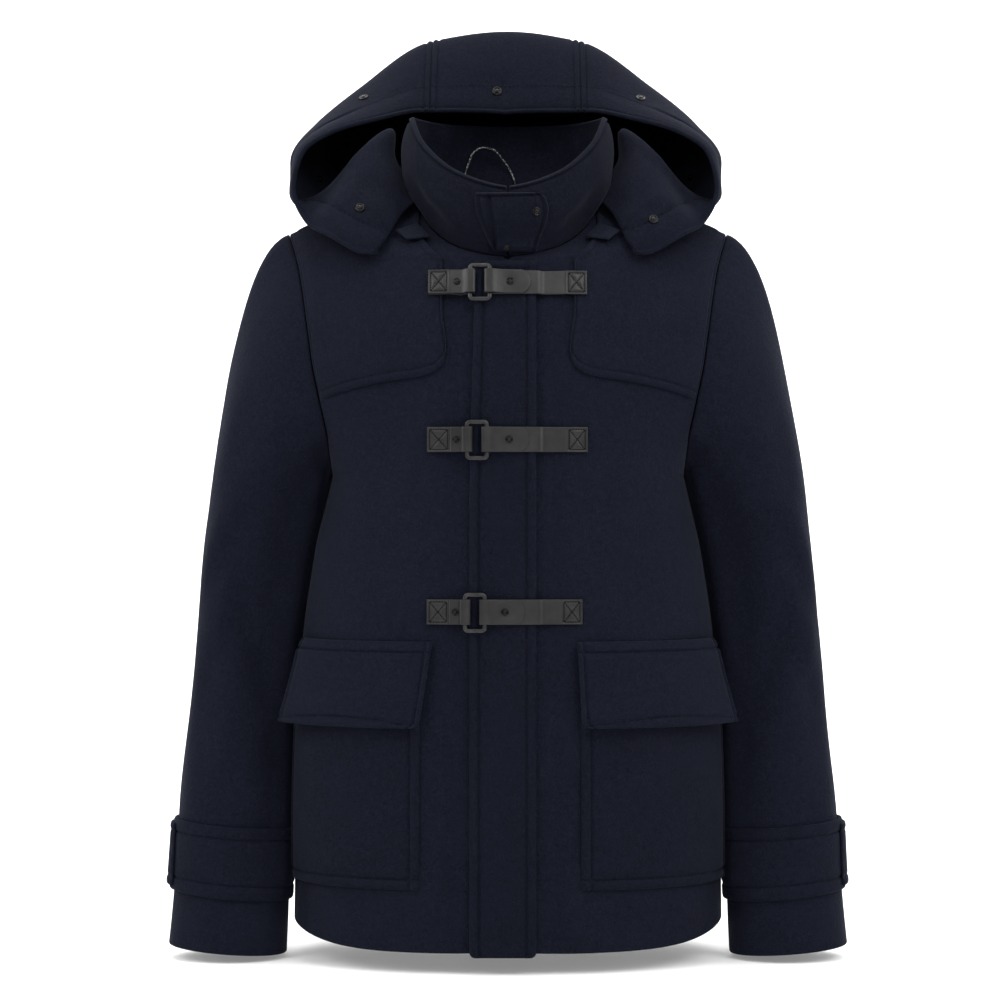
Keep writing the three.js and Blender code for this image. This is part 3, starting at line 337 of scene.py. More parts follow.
def sleeve_ring(at, turn):
    """A tilted oval round the arm at a row of SLEEVE."""
    c = {name: eased(SLEEVE[name], at) for name in SLEEVE}
    angle = 2 * np.pi * turn
    ahead = c["depth"] / 2 * np.sin(angle)
    aside = (c["outer"] - c["inner"]) / 2 * np.cos(angle)
    x = (c["outer"] + c["inner"]) / 2 + aside + c["tilt"] * ahead
    return stack(x, c["midY"] - ahead, c["z"] + c["rise"] * aside)


def sleeve_surface(w, turn):
    """w runs from 0 at the armhole to 1 under it and 7 at the cuff, turn once round from the top."""
    w, turn = floats(w, turn)
    turn = turn % 1.0
    start = armhole_point(turn)
    end = sleeve_ring(np.zeros_like(turn), turn)
    place = turn * 4
    pull = stack(*[eased(CAP_PULL[k], place) for k in "xyz"]) * eased(CAP_PULL["pull"], place)[..., None]
    fall = (end[..., 2] - start[..., 2]) * 1.15
    drop = stack(-0.11 * fall, 0 * fall, fall)
    f = np.clip(w, 0, 1)[..., None]
    g, h = f * f, f * f * f
    cap = start * (2 * h - 3 * g + 1) + pull * (h - 2 * g + f) + end * (3 * g - 2 * h) + drop * (h - g)
    point = np.where((w < 1)[..., None], cap, sleeve_ring(np.clip(w - 1, 0, SLEEVE_ROWS), turn))
    point[..., 0] += SEAM_GAP
    return point


def sleeve_point(w, turn, lift):
    across = sleeve_surface(w, turn + 0.004) - sleeve_surface(w, turn - 0.004)
    ahead, behind = np.minimum(w + 0.02, ARM_END), np.maximum(w - 0.02, 0)
    along = sleeve_surface(ahead, turn) - sleeve_surface(behind, turn)
    return sleeve_surface(w, turn) + unit(np.cross(across, along)) * np.asarray(lift)[..., None]


def neck_point(h):
    """The neck seam: h runs from 0 at the centre of the front to 1 at the centre of the back."""
    at = NECK_ROW + np.where(h <= 0.5, h, 1 - h) * 2 * (TOP_ROW - NECK_ROW)
    zero = np.zeros_like(h)
    return np.where((h <= 0.5)[..., None], panel_point(FRONT, at, zero), panel_point(BACK, at, zero))


def collar_point(h, v, lift):
    """A point of half the collar: h round the neck, v from its seam to its upper edge."""
    h, v = floats(h, v)
    base = neck_point(h)
    base[..., 2] += SEAM_GAP
    c = {name: eased(COLLAR_TOP[name], h * COLLAR_ROWS) for name in COLLAR_TOP}
    top = stack(c["x"], c["y"], c["z"])
    out = unit(stack(base[..., 0] + top[..., 0], base[..., 1] + top[..., 1] + 30, 0 * h))
    bulge = c["bulge"] * 4 * v * (1 - v)
    return base + (top - base) * v[..., None] + out * (bulge + lift)[..., None]


def hood_at(a, v):
    """A point of half the hood: a from the lappet round to the crown, v from the neck to the front edge,
    along a smooth curve through the ring on the collar and the points a to e of HOOD."""
    a, v = floats(a, v)
    stops = [collar_point(eased(HOOD["ring"], a), eased(HOOD["up"], a), REST_GAP + WALL / 2 + 0 * a)]
    stops += [stack(*[eased(HOOD[key + k], a) for k in "xyz"]) for key in "abcde"]
    stops = np.stack(stops)
    place = np.clip(v, 0, 1) * 5
    i = np.minimum(np.floor(place).astype(int), 4)
    f = (place - i)[..., None]
    pick = lambda k: np.take_along_axis(stops, np.clip(k, 0, 5)[None, ..., None], axis=0)[0]
    p0, p1, p2, p3 = pick(i - 1), pick(i), pick(i + 1), pick(i + 2)
    g, h = f * f, f * f * f
    return (p1 * (2 * h - 3 * g + 1) + (p2 - p0) / 2 * (h - 2 * g + f)
            + p2 * (3 * g - 2 * h) + (p3 - p1) / 2 * (h - g))


def hood_point(a, v, lift, side=1):
    a, v = floats(a, v)
    normal = normal_of(hood_at, a, v, (0, CROWN_ROW, 0, 1), 1)
    point = hood_at(a, v) + normal * np.asarray(lift)[..., None]
    point[..., 0] = point[..., 0] * side + HOOD_LEAN * v
    return point


def placket_right(z):
    share = np.clip((PLACKET["top"] - z) / 200, 0, 1)
    return PLACKET["rightTop"] + (PLACKET["right"] - PLACKET["rightTop"]) * share


def placket_point(at, u, lift):
    at, u = floats(at, u)
    row = np.maximum(at, 0)
    z = panel_point(FRONT, row, np.zeros_like(row))[..., 2]
    x = PLACKET["left"] + (placket_right(z) - PLACKET["left"]) * u
    point = to_side(front_point(row, share_at_width(np.abs(x), row), lift), x)
    point[..., 2] -= PLACKET["drop"] * np.clip(-at, 0, 1)
    return point


def yoke_point(u, v, lift):
    """u runs along the lower edge from the inner corner to the armhole, v up to just under the shoulder.
    The inner edge goes straight up to the pit of the neck, and then follows the neck."""
    u, v = floats(u, v)
    x = eased(YOKE_EDGE["x"], u)
    low_at = row_at_height(eased(YOKE_EDGE["z"], u), 0.5 + 0 * u)
    low_share = share_at_width(x, low_at)
    at = low_at + (TOP_ROW - 0.1 - low_at) * v
    inner_x = YOKE_EDGE["x"][0] + 0 * x
    near = share_at_width(inner_x, low_at)
    inner = share_at_width(inner_x, np.minimum(at, NECK_ROW)) * np.clip((15.4 - at) / 2.4, 0, 1)
    inner += 0.02 * smooth(v, 0, 0.2)
    across = np.clip((low_share - near) / (0.97 - near), 0, 1)
    return front_point(at, inner + (0.99 - inner) * across, lift)


def pocket_point(inner, u, v, lift):
    """u runs out from the pocket's inner edge, v down. The middle puffs out."""
    z = POCKET["top"] + (POCKET["bottom"] - POCKET["top"]) * v
    inner_share = share_at_width(inner + 0 * z, row_at_height(z, 0.3 + 0 * z))
    share = inner_share + (POCKET["reach"] - inner_share) * u
    across, down = (np.sin(np.pi * np.clip(c, 0, 1)) ** 0.7 for c in (u, v))
    puff = POCKET["puff"] * across * down
    return front_point(row_at_height(z, share), share, lift + puff)


def soft_corner(u, v, radius, width, height):
    """Draws u in toward the middle near v = 1, so that a piece's two lower corners are round."""
    t = np.clip((v - 1 + radius / height) / (radius / height), 0, 1)
    return 0.5 + (u - 0.5) * (1 - 2 * radius / width * (1 - np.sqrt(np.maximum(1 - t * t, 0))))


def flap_point(pocket, u, v, lift):
    u = soft_corner(u, v, 5.5, 108, 74)
    z = FLAP["top"] + (FLAP["bottom"] - FLAP["top"]) * v
    inner = pocket["flapInner"] + (pocket["flapInnerLow"] - pocket["flapInner"]) * v
    inner_share = share_at_width(inner, row_at_height(z, 0.3 + 0 * z))
    reach = FLAP["topReach"] + (FLAP["lowReach"] - FLAP["topReach"]) * v
    share = inner_share + (reach - inner_share) * u
    over = np.clip(v / 0.16, 0, 1) * (OVERLAY + REST_GAP + POCKET["puff"] * 0.3)
    stand = v ** 1.4 * (FLAP["standFront"] + (FLAP["standSide"] - FLAP["standFront"]) * u ** 2.2)
    return front_point(row_at_height(z, share), share, lift + over + stand)


def cuff_point(z, turn, lift):
    z, turn = floats(z, turn)
    at = bisect(np.zeros_like(z), np.full_like(z, SLEEVE_ROWS), lambda m: eased(SLEEVE["z"], m) > z)
    ahead = sleeve_ring(at, turn + 0.002) - sleeve_ring(at, turn - 0.002)
    out = unit(stack(-ahead[..., 1], ahead[..., 0], 0 * z))
    return sleeve_ring(at, turn) + [SEAM_GAP, 0, 0] + out * np.asarray(lift)[..., None]


def collar_front_at(x, z, lift):
    x, z = floats(x, z)
    h = np.zeros_like(x)
    v = np.full_like(x, 0.5)
    for _ in range(24):
        p = collar_point(h, v, 0 * h)
        h = np.clip(h + (np.abs(x) - p[..., 0]) / COLLAR_REACH, 0, 0.4)
        v = np.clip(v + (z - p[..., 2]) / COLLAR_HEIGHT, 0, 1)
    return to_side(collar_point(h, v, lift), x)


def throat_point(at, u, lift):
    """The throat tab: at is the row of THROAT_TAB, u runs across it."""
    left = eased(THROAT_TAB["from"], at)
    right = eased(THROAT_TAB["to"], at)
    return collar_front_at(left + (right - left) * u, eased(THROAT_TAB["z"], at), lift)


def neck_tab_point(u, v, lift):
    """A four-sided piece between the corners of NECK_TAB."""
    mix = lambda c: (c[0] * (1 - u) + c[1] * u) * (1 - v) + (c[3] * (1 - u) + c[2] * u) * v
    return front_at(mix(NECK_TAB["x"]), mix(NECK_TAB["z"]), mix(NECK_TAB["lift"]) + lift)


# ---------------------------------------------------------------- cloth meshes
def lengths_along(points, axis):
    steps = np.linalg.norm(np.diff(points, axis=axis), axis=-1)
    total = np.cumsum(steps, axis=axis)
    pad = np.zeros_like(np.take(total, [0], axis=axis))
    return np.concatenate([pad, total], axis=axis)


def spaced(line, low, high, step, start_marks=(), end_marks=()):
    """Settings of a line that lie evenly in millimetres, closer at the marked distances from its ends."""
    t = np.linspace(low, high, 500)
    run = lengths_along(line(t), 0)
    total = run[-1]
    marks = {0.0, float(total)}
    marks.update(m for m in start_marks if m < total / 2)
    marks.update(total - m for m in end_marks if m < total / 2)
    fixed = sorted(marks)
    wanted = []
    for a, b in zip(fixed[:-1], fixed[1:]):
        count = max(1, int(round((b - a) / step)))
        wanted.extend(np.linspace(a, b, count + 1)[:-1])
    wanted.append(total)
    return np.interp(wanted, run, t)


def spaced_rows(place, over, *spacing):
    """Even settings down a surface, where its other setting is over."""
    return spaced(lambda t: place(t, over + 0 * t, 0 * t), *spacing)


def spaced_cols(place, down, *spacing):
    return spaced(lambda t: place(down + 0 * t, t, 0 * t), *spacing)


def edge_distances(flat):
    """How far each point lies from each of the four edges, along the cloth."""
    down, over = lengths_along(flat, 0), lengths_along(flat, 1)
    return {"start_row": down, "end_row": down[-1:] - down, "start_col": over, "end_col": over[:, -1:] - over}


def sewn_down(flat, edges, depth, reach):
    """Sewing pulls the edges of a laid piece down onto the cloth under it."""
    far = edge_distances(flat)
    return -depth * np.exp(-(np.min([far[edge] for edge in edges], axis=0) / reach) ** 2)


def marks(*stitch):
    """Distances from an edge where its rounding and its rows of stitching need closer points."""
    out = {0.25, 0.8, 1.6, 2.6, 4}
    for d in stitch:
        out.update(d + near for near in (-2.6, -1.4, -0.6, 0, 0.6, 1.4, 2.6))
    return tuple(sorted(m for m in out if m > 0))


def rounding(far, radius):
    """A quarter round from 0 at an edge to 1 at the radius."""
    return np.sqrt(np.clip(1 - (1 - np.clip(far / radius, 0, 1)) ** 2, 0, 1))


def cloth(place, rows, cols, top, under, round_rows=(True, True), round_cols=(True, True),
          grooves=(), fold=None, radius=None, wrap=False, both=False):
    """A cloth piece between two lifts off a surface, with rounded edges, sunk stitch rows and folds.
    Grooves are (edge, distance, depth) with edge one of start_row, end_row, start_col, end_col, and the
    cloth swells a little between edge and groove. With both, the under face has them too."""
    A, B = np.meshgrid(rows, cols, indexing="ij")
    middle = (top + under) / 2
    half = (top - under) / 2
    radius = radius or half * 1.25
    flat = place(A, B, middle + 0 * A)
    far = edge_distances(flat)
    rounded = dict(zip(far, (*round_rows, *round_cols)))
    profile = np.ones_like(A)
    for edge, on in rounded.items():
        if on and not (wrap and "col" in edge):
            profile = np.minimum(profile, rounding(far[edge], radius))
    groove = np.zeros_like(A)
    for edge, distance, depth in grooves:
        roll = 0.9 * depth * np.exp(-((far[edge] - distance * 0.5) / (distance * 0.3)) ** 2)
        groove += 1.7 * depth * np.exp(-((far[edge] - distance) / 1.3) ** 2) - roll
    groove = np.minimum(groove, half * 0.9) * profile
    push = fold(A, B, flat) if fold else 0 * A
    outer = place(A, B, middle + half * profile - groove + push)
    inner = place(A, B, middle - half * profile + (groove if both else 0) + push)
    return {"outer": outer, "inner": inner, "wrap": wrap, "shut": profile < 1e-6,
            "flat": flat, "far": far, "grooves": grooves}


def mesh_of(sheet, mirror=False):
    """Points and faces of a closed sheet. Where it is shut, outer and inner face share their points."""
    outer, inner, wrap, shut = (sheet[key] for key in ("outer", "inner", "wrap", "shut"))
    if wrap:
        outer, inner, shut = outer[:, :-1], inner[:, :-1], shut[:, :-1]
    m, n = shut.shape
    top = np.arange(m * n).reshape(m, n)
    low = np.where(shut, top, 0)
    low[~shut] = m * n + np.arange(int((~shut).sum()))
    points = np.concatenate([outer.reshape(-1, 3), inner[~shut]])
    j = np.arange(n if wrap else n - 1)
    k = (j + 1) % n
    quad = lambda g: np.stack([g[:-1][:, j], g[:-1][:, k], g[1:][:, k], g[1:][:, j]], -1).reshape(-1, 4)
    faces = [quad(top), quad(low)[:, ::-1]]
    row, col = m // 2, n // 2
    middle = outer[row, col]
    up = np.cross(outer[row, col + 1] - middle, outer[row + 1, col] - middle)
    facing = np.dot(up, middle - inner[row, col])
    sides = []
    if not wrap:
        sides += [(top[:, 0], low[:, 0], 1), (top[:, -1], low[:, -1], -1)]
    sides += [(top[0], low[0], -1), (top[-1], low[-1], 1)]
    for upper, lower, way in sides:
        if not np.all(upper == lower):
            if wrap:
                upper, lower = np.append(upper, upper[0]), np.append(lower, lower[0])
            strip = np.stack([upper[:-1], upper[1:], lower[1:], lower[:-1]], -1)
            faces.append(strip if way > 0 else strip[:, ::-1])
    faces = np.concatenate(faces)
    if facing < 0:
        faces = faces[:, ::-1]
    if mirror:
        points = points * [-1, 1, 1]
        faces = faces[:, ::-1]
    sound = []
    for face in faces.tolist():
        kept = [v for i, v in enumerate(face) if v != face[i - 1]]
        if len(set(kept)) == len(kept) > 2:
            sound.append(kept)
    return points, sound


def add_object(name, data):
    obj = bpy.data.objects.new(name, data)
    bpy.context.scene.collection.objects.link(obj)
    return obj


def add_mesh(name, points, faces, material):
    mesh = bpy.data.meshes.new(name)
    mesh.from_pydata(points, [], faces)
    mesh.polygons.foreach_set("use_smooth", [True] * len(mesh.polygons))
    mesh.materials.append(material)
    return add_object(name, mesh)


def make(name, points, faces, material, nodes=()):
    """A visible piece in millimetres. It stands for the CAD nodes that it names."""
    obj = add_mesh(name, (np.asarray(points) * MM).tolist(), faces, material)
    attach(obj, "root")
    if nodes:
        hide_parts(*nodes)
    return obj


def area_of(points):
    """Area of a grid of points, in square metres."""
    a = np.cross(points[1:, :-1] - points[:-1, :-1], points[:-1, 1:] - points[:-1, :-1])
    b = np.cross(points[1:, :-1] - points[1:, 1:], points[:-1, 1:] - points[1:, 1:])
    return float((np.linalg.norm(a, axis=-1) + np.linalg.norm(b, axis=-1)).sum()) / 2e6


# Width and length, in metres, that each piece of cloth was cut to.
CUT = {
    "front": (0.27, 0.68), "back": (0.55, 0.68), "placket": (0.057, 0.6), "yoke": (0.15, 0.17),
    "sleeve_upper": (0.23, 0.66), "sleeve_under": (0.15, 0.49), "cuff_band": (0.33, 0.07),
    "cuff_tab": (0.09, 0.065), "collar": (0.52, 0.11), "collar_tab": (0.068, 0.056),
    "hood_side": (0.27, 0.5), "hood_centre": (0.14, 0.5), "hood_neck_tab": (0.04, 0.025),
    "pocket": (0.175, 0.22), "pocket_flap": (0.185, 0.095),
}


def sew(sheet, node, material, mirror=False):
    """Makes a cloth piece that stands for its CAD node, and looks up how big it was cut."""
    points, faces = mesh_of(sheet, mirror)
    obj = make("cloth_" + node, points, faces, material, [node])
    if node.startswith("sleeve"):
        obj.data.set_sharp_from_angle(angle=math.radians(75))
    width, length = CUT[node.replace("_left", "").replace("_right", "")]
    area_of(sheet["flat"])


# ---------------------------------------------------------------- folds
FOLD = ["fromA", "fromB", "toA", "toB", "width", "height"]
# Soft folds of the fronts and back, across and up from the coat's middle: ridge up, trough down.
FRONT_FOLDS = table(FOLD, [
    [150, -150, 100, -300, 22, 1.6],
    [165, -235, 95, -330, 18, -1.8],
    [160, -262, 110, -400, 26, 1.8],
    [60, -215, 45, -355, 24, 0.9],
    [120, -590, 128, -630, 22, -1.6],
    [60, -560, 64, -636, 20, 1.6],
    [175, -470, 180, -620, 20, -2],
    [150, -60, 95, -95, 20, 1.3],
    [90, -150, 100, -330, 30, -1.2],
    [41, -110, 41, -400, 8, -1.2],
    [42, -380, 43, -640, 9, -1.6],
    [56, -420, 54, -640, 9, 0.8],
])
BACK_FOLDS = table(FOLD, [
    [150, -140, 80, -190, 22, 2],
    [155, -165, 70, -240, 20, -2.2],
    [160, -230, 90, -360, 26, 2],
    [60, -330, 66, -600, 34, 2.4],
    [112, -380, 122, -620, 30, -2.6],
    [8, -420, 2, -620, 36, -2],
    [160, -430, 172, -600, 24, 2],
    [40, -30, 30, -150, 26, -1.2],
    [95, -70, 70, -190, 26, 1.2],
])
# Round the arm from the top seam in millimetres, and height.
SLEEVE_FOLDS = table(FOLD, [
    [-30, -90, 10, -250, 20, 1.8],
    [60, -150, 95, -270, 16, -2],
    [95, -215, 55, -330, 16, 2.2],
    [110, -260, 60, -350, 14, -2.2],
    [-60, -130, -90, -280, 18, 2],
    [-100, -250, -60, -380, 18, -2.2],
    [70, -340, 105, -420, 15, 2.2],
    [115, -355, 60, -440, 14, -2],
    [120, -400, 85, -500, 18, 2],
    [10, -300, 20, -500, 26, -1.6],
    [-30, -360, -40, -560, 24, 1.8],
    [-90, -400, -70, -520, 20, -2],
    [50, -440, 60, -640, 22, 1.6],
    [180, -240, 180, -420, 20, 2],
    [98, -300, 152, -430, 13, -2.6],
    [80, -330, 132, -450, 16, 1.4],
])


def folds(rows, a, b):
    """The sum of soft folds, each a ridge or trough that dies out toward its ends."""
    total = np.zeros_like(a)
    for i in range(len(rows["width"])):
        fa, fb, ta, tb, width, height = (rows[name][i] for name in FOLD)
        length = math.hypot(ta - fa, tb - fb)
        ux, uy = (ta - fa) / length, (tb - fb) / length
        along = ((a - fa) * ux + (b - fb) * uy) / length
        off = np.abs((a - fa) * uy - (b - fb) * ux)
        fade = smooth(along, -0.15, 0.35) * (1 - smooth(along, 0.65, 1.15))
        total += height * np.exp(-(off / width) ** 2) * fade
    return total


# Seeds of the slow unevenness, one for each kind of piece. Left and right pieces add or take one.
SEED = {
    "front": 11, "back": 31, "sleeve": 51, "cuff": 71, "collar": 91, "hood": 111, "gusset": 131,
    "placket": 151, "pocket": 171, "flap": 191, "strap": 211,
}


def ripple(a, b, scale, height, seed):
    """Slow unevenness of thick cloth or leather, the same each run. Scale and height are in millimetres."""
    rng = np.random.default_rng(seed)
    total = np.zeros_like(a)
    for _ in range(7):
        angle, phase, size = rng.uniform(0, 2 * np.pi), rng.uniform(0, 2 * np.pi), rng.uniform(0.7, 1.6)
        total += np.sin((a * math.cos(angle) + b * math.sin(angle)) / (scale * size) + phase)
    return total * height / 3


# ---------------------------------------------------------------- materials
def new_material(name):
    material = bpy.data.materials.new(name)
    material.use_nodes = True
    tree = material.node_tree
    shader = tree.nodes["Principled BSDF"]
    place = tree.nodes.new("ShaderNodeTexCoord")
    return material, tree, shader, place.outputs["Object"]


def set_inputs(node, values):
    for name, value in values.items():
        node.inputs[name].default_value = value


def add_node(tree, kind, values, links):
    """A new node with these values and these links into its inputs."""
    node = tree.nodes.new(kind)
    set_inputs(node, values)
    for name, source in links.items():
        tree.links.new(source, node.inputs[name])
    return node


def noise(tree, place, scale, detail=3.0, rough=0.55, stretch=None):
    if stretch:
        place = add_node(tree, "ShaderNodeMapping", {"Scale": stretch}, {"Vector": place}).outputs["Vector"]
    values = {"Scale": scale, "Detail": detail, "Roughness": rough}
    return add_node(tree, "ShaderNodeTexNoise", values, {"Vector": place}).outputs["Fac"]


def ramp(tree, value, stops):
    node = tree.nodes.new("ShaderNodeValToRGB")
    element = node.color_ramp.elements
    element[0].position, element[0].color = stops[0][0], (*stops[0][1], 1)
    element[1].position, element[1].color = stops[-1][0], (*stops[-1][1], 1)
    for position, colour in stops[1:-1]:
        element.new(position).color = (*colour, 1)
    tree.links.new(value, node.inputs["Fac"])
    return node.outputs["Color"]


def half_of_each(tree, a, b):
    """The colour halfway between two colours, whose sockets are 6 and 7 of a Mix node."""
    node = tree.nodes.new("ShaderNodeMix")
    node.data_type = "RGBA"
    node.blend_type = "MIX"
    node.inputs["Factor"].default_value = 0.5
    tree.links.new(a, node.inputs[6])
    tree.links.new(b, node.inputs[7])
    return node.outputs[2]


def bump(tree, shader, layers):
    """Bumps on each other, each a height, its distance in metres and its strength."""
    links = {}
    for height, distance, strength in layers:
        values = {"Distance": distance, "Strength": strength}
        node = add_node(tree, "ShaderNodeBump", values, {"Height": height, **links})
        links = {"Normal": node.outputs["Normal"]}
    tree.links.new(links["Normal"], shader.inputs["Normal"])


def uneven_roughness(tree, shader, value, low, high):
    node = add_node(tree, "ShaderNodeMapRange", {"To Min": low, "To Max": high}, {"Value": value})
    tree.links.new(node.outputs["Result"], shader.inputs["Roughness"])


def wool(name, tone, sheen):
    """Felted wool: short nap, faint diagonal weave under it, cloudy dyeing and lighter fibre ends."""
    material, tree, shader, place = new_material(name)
    base = np.array([0.0062, 0.0073, 0.0144]) * tone
    cloud = noise(tree, place, 26, 4)
    mottle = noise(tree, place, 240, 4, 0.65)
    felt = noise(tree, place, 620, 5, 0.7)
    fibre = noise(tree, place, 2100, 3, 0.6, (1, 1, 0.35))
    colour = ramp(tree, cloud, [(0.3, base * 0.78), (0.5, base), (0.7, base * 1.26)])
    patch = ramp(tree, mottle, [(0.3, base * 0.45), (0.5, base), (0.7, base * 1.9)])
    fleck = ramp(tree, felt, [(0.32, base * 0.35), (0.52, base), (0.72, base * 2.6)])
    colour = half_of_each(tree, half_of_each(tree, colour, patch), fleck)
    tree.links.new(colour, shader.inputs["Base Color"])
    values = {"Scale": 190, "Distortion": 3.5, "Detail": 3}
    weave = add_node(tree, "ShaderNodeTexWave", values, {"Vector": place})
    weave.wave_type, weave.bands_direction = "BANDS", "DIAGONAL"
    bump(tree, shader, [
        (weave.outputs["Fac"], 0.0002, 0.06),
        (mottle, 0.0012, 0.3),
        (felt, 0.0009, 0.5),
        (fibre, 0.0005, 0.35),
    ])
    set_inputs(shader, {"Roughness": 0.95, "Specular IOR Level": 0.06})
    set_inputs(shader, {"Sheen Weight": sheen, "Sheen Roughness": 0.3, "Sheen Tint": (0.42, 0.46, 0.62, 1)})
    return material


def leather(name, tone, rough_low, rough_high):
    """Pebbled leather, a little cloudy."""
    material, tree, shader, place = new_material(name)
    base = np.array([0.0115, 0.0115, 0.0117]) * tone
    pebble = add_node(tree, "ShaderNodeTexVoronoi", {"Scale": 1050}, {"Vector": place})
    pebble.feature = "DISTANCE_TO_EDGE"
    cloud = noise(tree, place, 80, 4)
    grain = noise(tree, place, 900, 4, 0.6)
    colour = ramp(tree, cloud, [(0.28, base * 0.6), (0.52, base), (0.76, base * 1.6)])
    tree.links.new(colour, shader.inputs["Base Color"])
    uneven_roughness(tree, shader, grain, rough_low, rough_high)
    bump(tree, shader, [(pebble.outputs["Distance"], 0.0002, 0.25), (grain, 0.0003, 0.25)])
    shader.inputs["Specular IOR Level"].default_value = 0.28
    return material


def metal(name, tone, rough_low, rough_high):
    """Dark plated metal with fine scratches."""
    material, tree, shader, place = new_material(name)
    base = np.array([0.07, 0.07, 0.072]) * tone
    cloud = noise(tree, place, 210, 4)
    scratch = noise(tree, place, 700, 3, 0.5, (1, 0.2, 0.2))
    colour = ramp(tree, cloud, [(0.3, base * 0.7), (0.7, base * 1.3)])
    tree.links.new(colour, shader.inputs["Base Color"])
    uneven_roughness(tree, shader, scratch, rough_low, rough_high)
    bump(tree, shader, [(cloud, 0.0001, 0.15), (scratch, 0.00005, 0.2)])
    shader.inputs["Metallic"].default_value = 0.9
    return material


def thread(name, base):
    material, tree, shader, place = new_material(name)
    twist = noise(tree, place, 3200, 2)
    colour = ramp(tree, twist, [(0.3, np.array(base) * 0.6), (0.7, np.array(base) * 1.3)])
    tree.links.new(colour, shader.inputs["Base Color"])
    bump(tree, shader, [(twist, 0.0002, 0.4)])
    set_inputs(shader, {"Roughness": 0.9, "Specular IOR Level": 0.1})
    return material


def two_tone_cord():
    material, tree, shader, place = new_material("hanger_cord")
    pick = noise(tree, place, 760, 1)
    colour = ramp(tree, pick, [(0.5, (0.006, 0.006, 0.008)), (0.56, (0.26, 0.26, 0.26))])
    tree.links.new(colour, shader.inputs["Base Color"])
    bump(tree, shader, [(pick, 0.0004, 0.6)])
    shader.inputs["Roughness"].default_value = 0.8
    return material


WOOL_BODY = wool("wool_body", 0.86, 0.08)
# The body's wool made darker: painted shade on the placket, pockets, cuff bands and hood neck tabs.
TRIM_PAINTED_SHADE_WOOL = wool("trim_painted_shade_wool", 0.78, 0.07)
# The body's wool made much darker: painted shade on the collar and throat tab, which lie under the hood.
COLLAR_PAINTED_SHADE_WOOL = wool("collar_painted_shade_wool", 0.62, 0.06)
# The body's wool made darker: painted shade on the hood's sides and middle strip.
HOOD_PAINTED_SHADE_WOOL = wool("wool_hood", 0.78, 0.06)
LEATHER = leather("strap_leather", 1.0, 0.32, 0.5)
EDGE_PAINT = leather("strap_edge_paint", 0.35, 0.85, 0.95)
METAL = metal("gunmetal", 0.55, 0.3, 0.48)
STUD_METAL = metal("stud_gunmetal", 0.2, 0.12, 0.24)
THREAD = thread("navy_thread", (0.0036, 0.0042, 0.0082))
BLACK_THREAD = thread("black_thread", (0.003, 0.003, 0.003))
HANGER = two_tone_cord()


# ---------------------------------------------------------------- stitching
CLOTH_STITCHES = []
LEATHER_STITCHES = []


def stitch_line(batch, points, normals, pitch, length=3.0, radius=0.28):
    """Short raised stitches, end to end along a line of points on the cloth or leather."""
    run = lengths_along(points, 0)
    at = lambda d, v: np.stack([np.interp(d, run, v[:, i]) for i in range(3)], -1)
    room = run[-1] - (pitch - length)
    count = int(room / pitch)
    for k in range(count):
        d = (pitch - length) + room * k / count + np.array([0.0, length / 2, length])
        middle, up = at(d, points), unit(at(d, normals))
        ahead = unit(at(d + 0.3, points) - at(d - 0.3, points) + 1e-6)
        side = unit(np.cross(ahead, up))
        thick = radius * np.array([0.25, 1.0, 0.25])
        batch.append([(middle[i], up[i], side[i], thick[i]) for i in range(3)])


# A stitch's line lies this far off the cloth, and its round of points as far again off the line.
STITCH_LIFT = 0.12
STITCH_SIDES = 5


def sew_along(sheet, edge, distance, stops=(), mirror=False, pitch=4.0, face="outer"):
    """A row of stitches at a distance from an edge of a sheet, on one of its faces.
    Stops are the edges and distances where the row ends."""
    cloth_face, other_face = sheet[face], sheet["inner" if face == "outer" else "outer"]
    up = np.cross(np.gradient(cloth_face, axis=0), np.gradient(cloth_face, axis=1))
    middle = tuple(n // 2 for n in cloth_face.shape[:2])
    if np.dot(up[middle], cloth_face[middle] - other_face[middle]) < 0:
        up = -up
    back = -1 if edge.startswith("end") else 1
    turn = lambda grid: (np.swapaxes(grid, 0, 1) if "col" in edge else grid)[::back]
    far = turn(sheet["far"][edge])
    read = lambda grid: np.array([np.interp(distance, *pair) for pair in zip(far.T, turn(grid).T)])
    line = np.stack([read(cloth_face[..., i]) for i in range(3)], -1)
    normals = unit(np.stack([read(up[..., i]) for i in range(3)], -1))
    keep = np.ones(len(line), bool)
    for other, least in stops:
        keep &= read(sheet["far"][other]) >= least - 0.4
    flip = [-1, 1, 1] if mirror else [1, 1, 1]
    line, normals = line[keep] * flip, normals[keep] * flip
    stitch_line(CLOTH_STITCHES, line + normals * STITCH_LIFT, normals, pitch)


def topstitch(sheet, mirror=False, pitch=4.0, stops=()):
    """Sews along every groove of a sheet. Each row ends at the grooves that cross it."""
    for edge, distance, _ in sheet["grooves"]:
        crossing = [(other, far) for other, far, _ in sheet["grooves"] if other[-3:] != edge[-3:]]
        sew_along(sheet, edge, distance, crossing + list(stops), mirror, pitch)


def tube_faces(rings, sides, base=0):
    """Faces between rings of points, one after the other from the point number base."""
    return [[base + i * sides + j, base + i * sides + (j + 1) % sides,
             base + (i + 1) * sides + (j + 1) % sides, base + (i + 1) * sides + j]
            for i in range(rings - 1) for j in range(sides)]


def end_faces(rings, sides, base=0):
    last = base + (rings - 1) * sides
    return [[base + j for j in range(sides - 1, -1, -1)], [last + j for j in range(sides)]]


def stitches_mesh(name, batch, material):
    points, faces = [], []
    for stitch in batch:
        base = len(points)
        for middle, up, side, r in stitch:
            for k in range(STITCH_SIDES):
                angle = 2 * math.pi * k / STITCH_SIDES
                rise = r * math.sin(angle) * 0.8 + STITCH_LIFT
                points.append(middle + side * r * math.cos(angle) + up * rise)
        faces += tube_faces(len(stitch), STITCH_SIDES, base) + end_faces(len(stitch), STITCH_SIDES, base)
    make(name, np.array(points), faces, material)


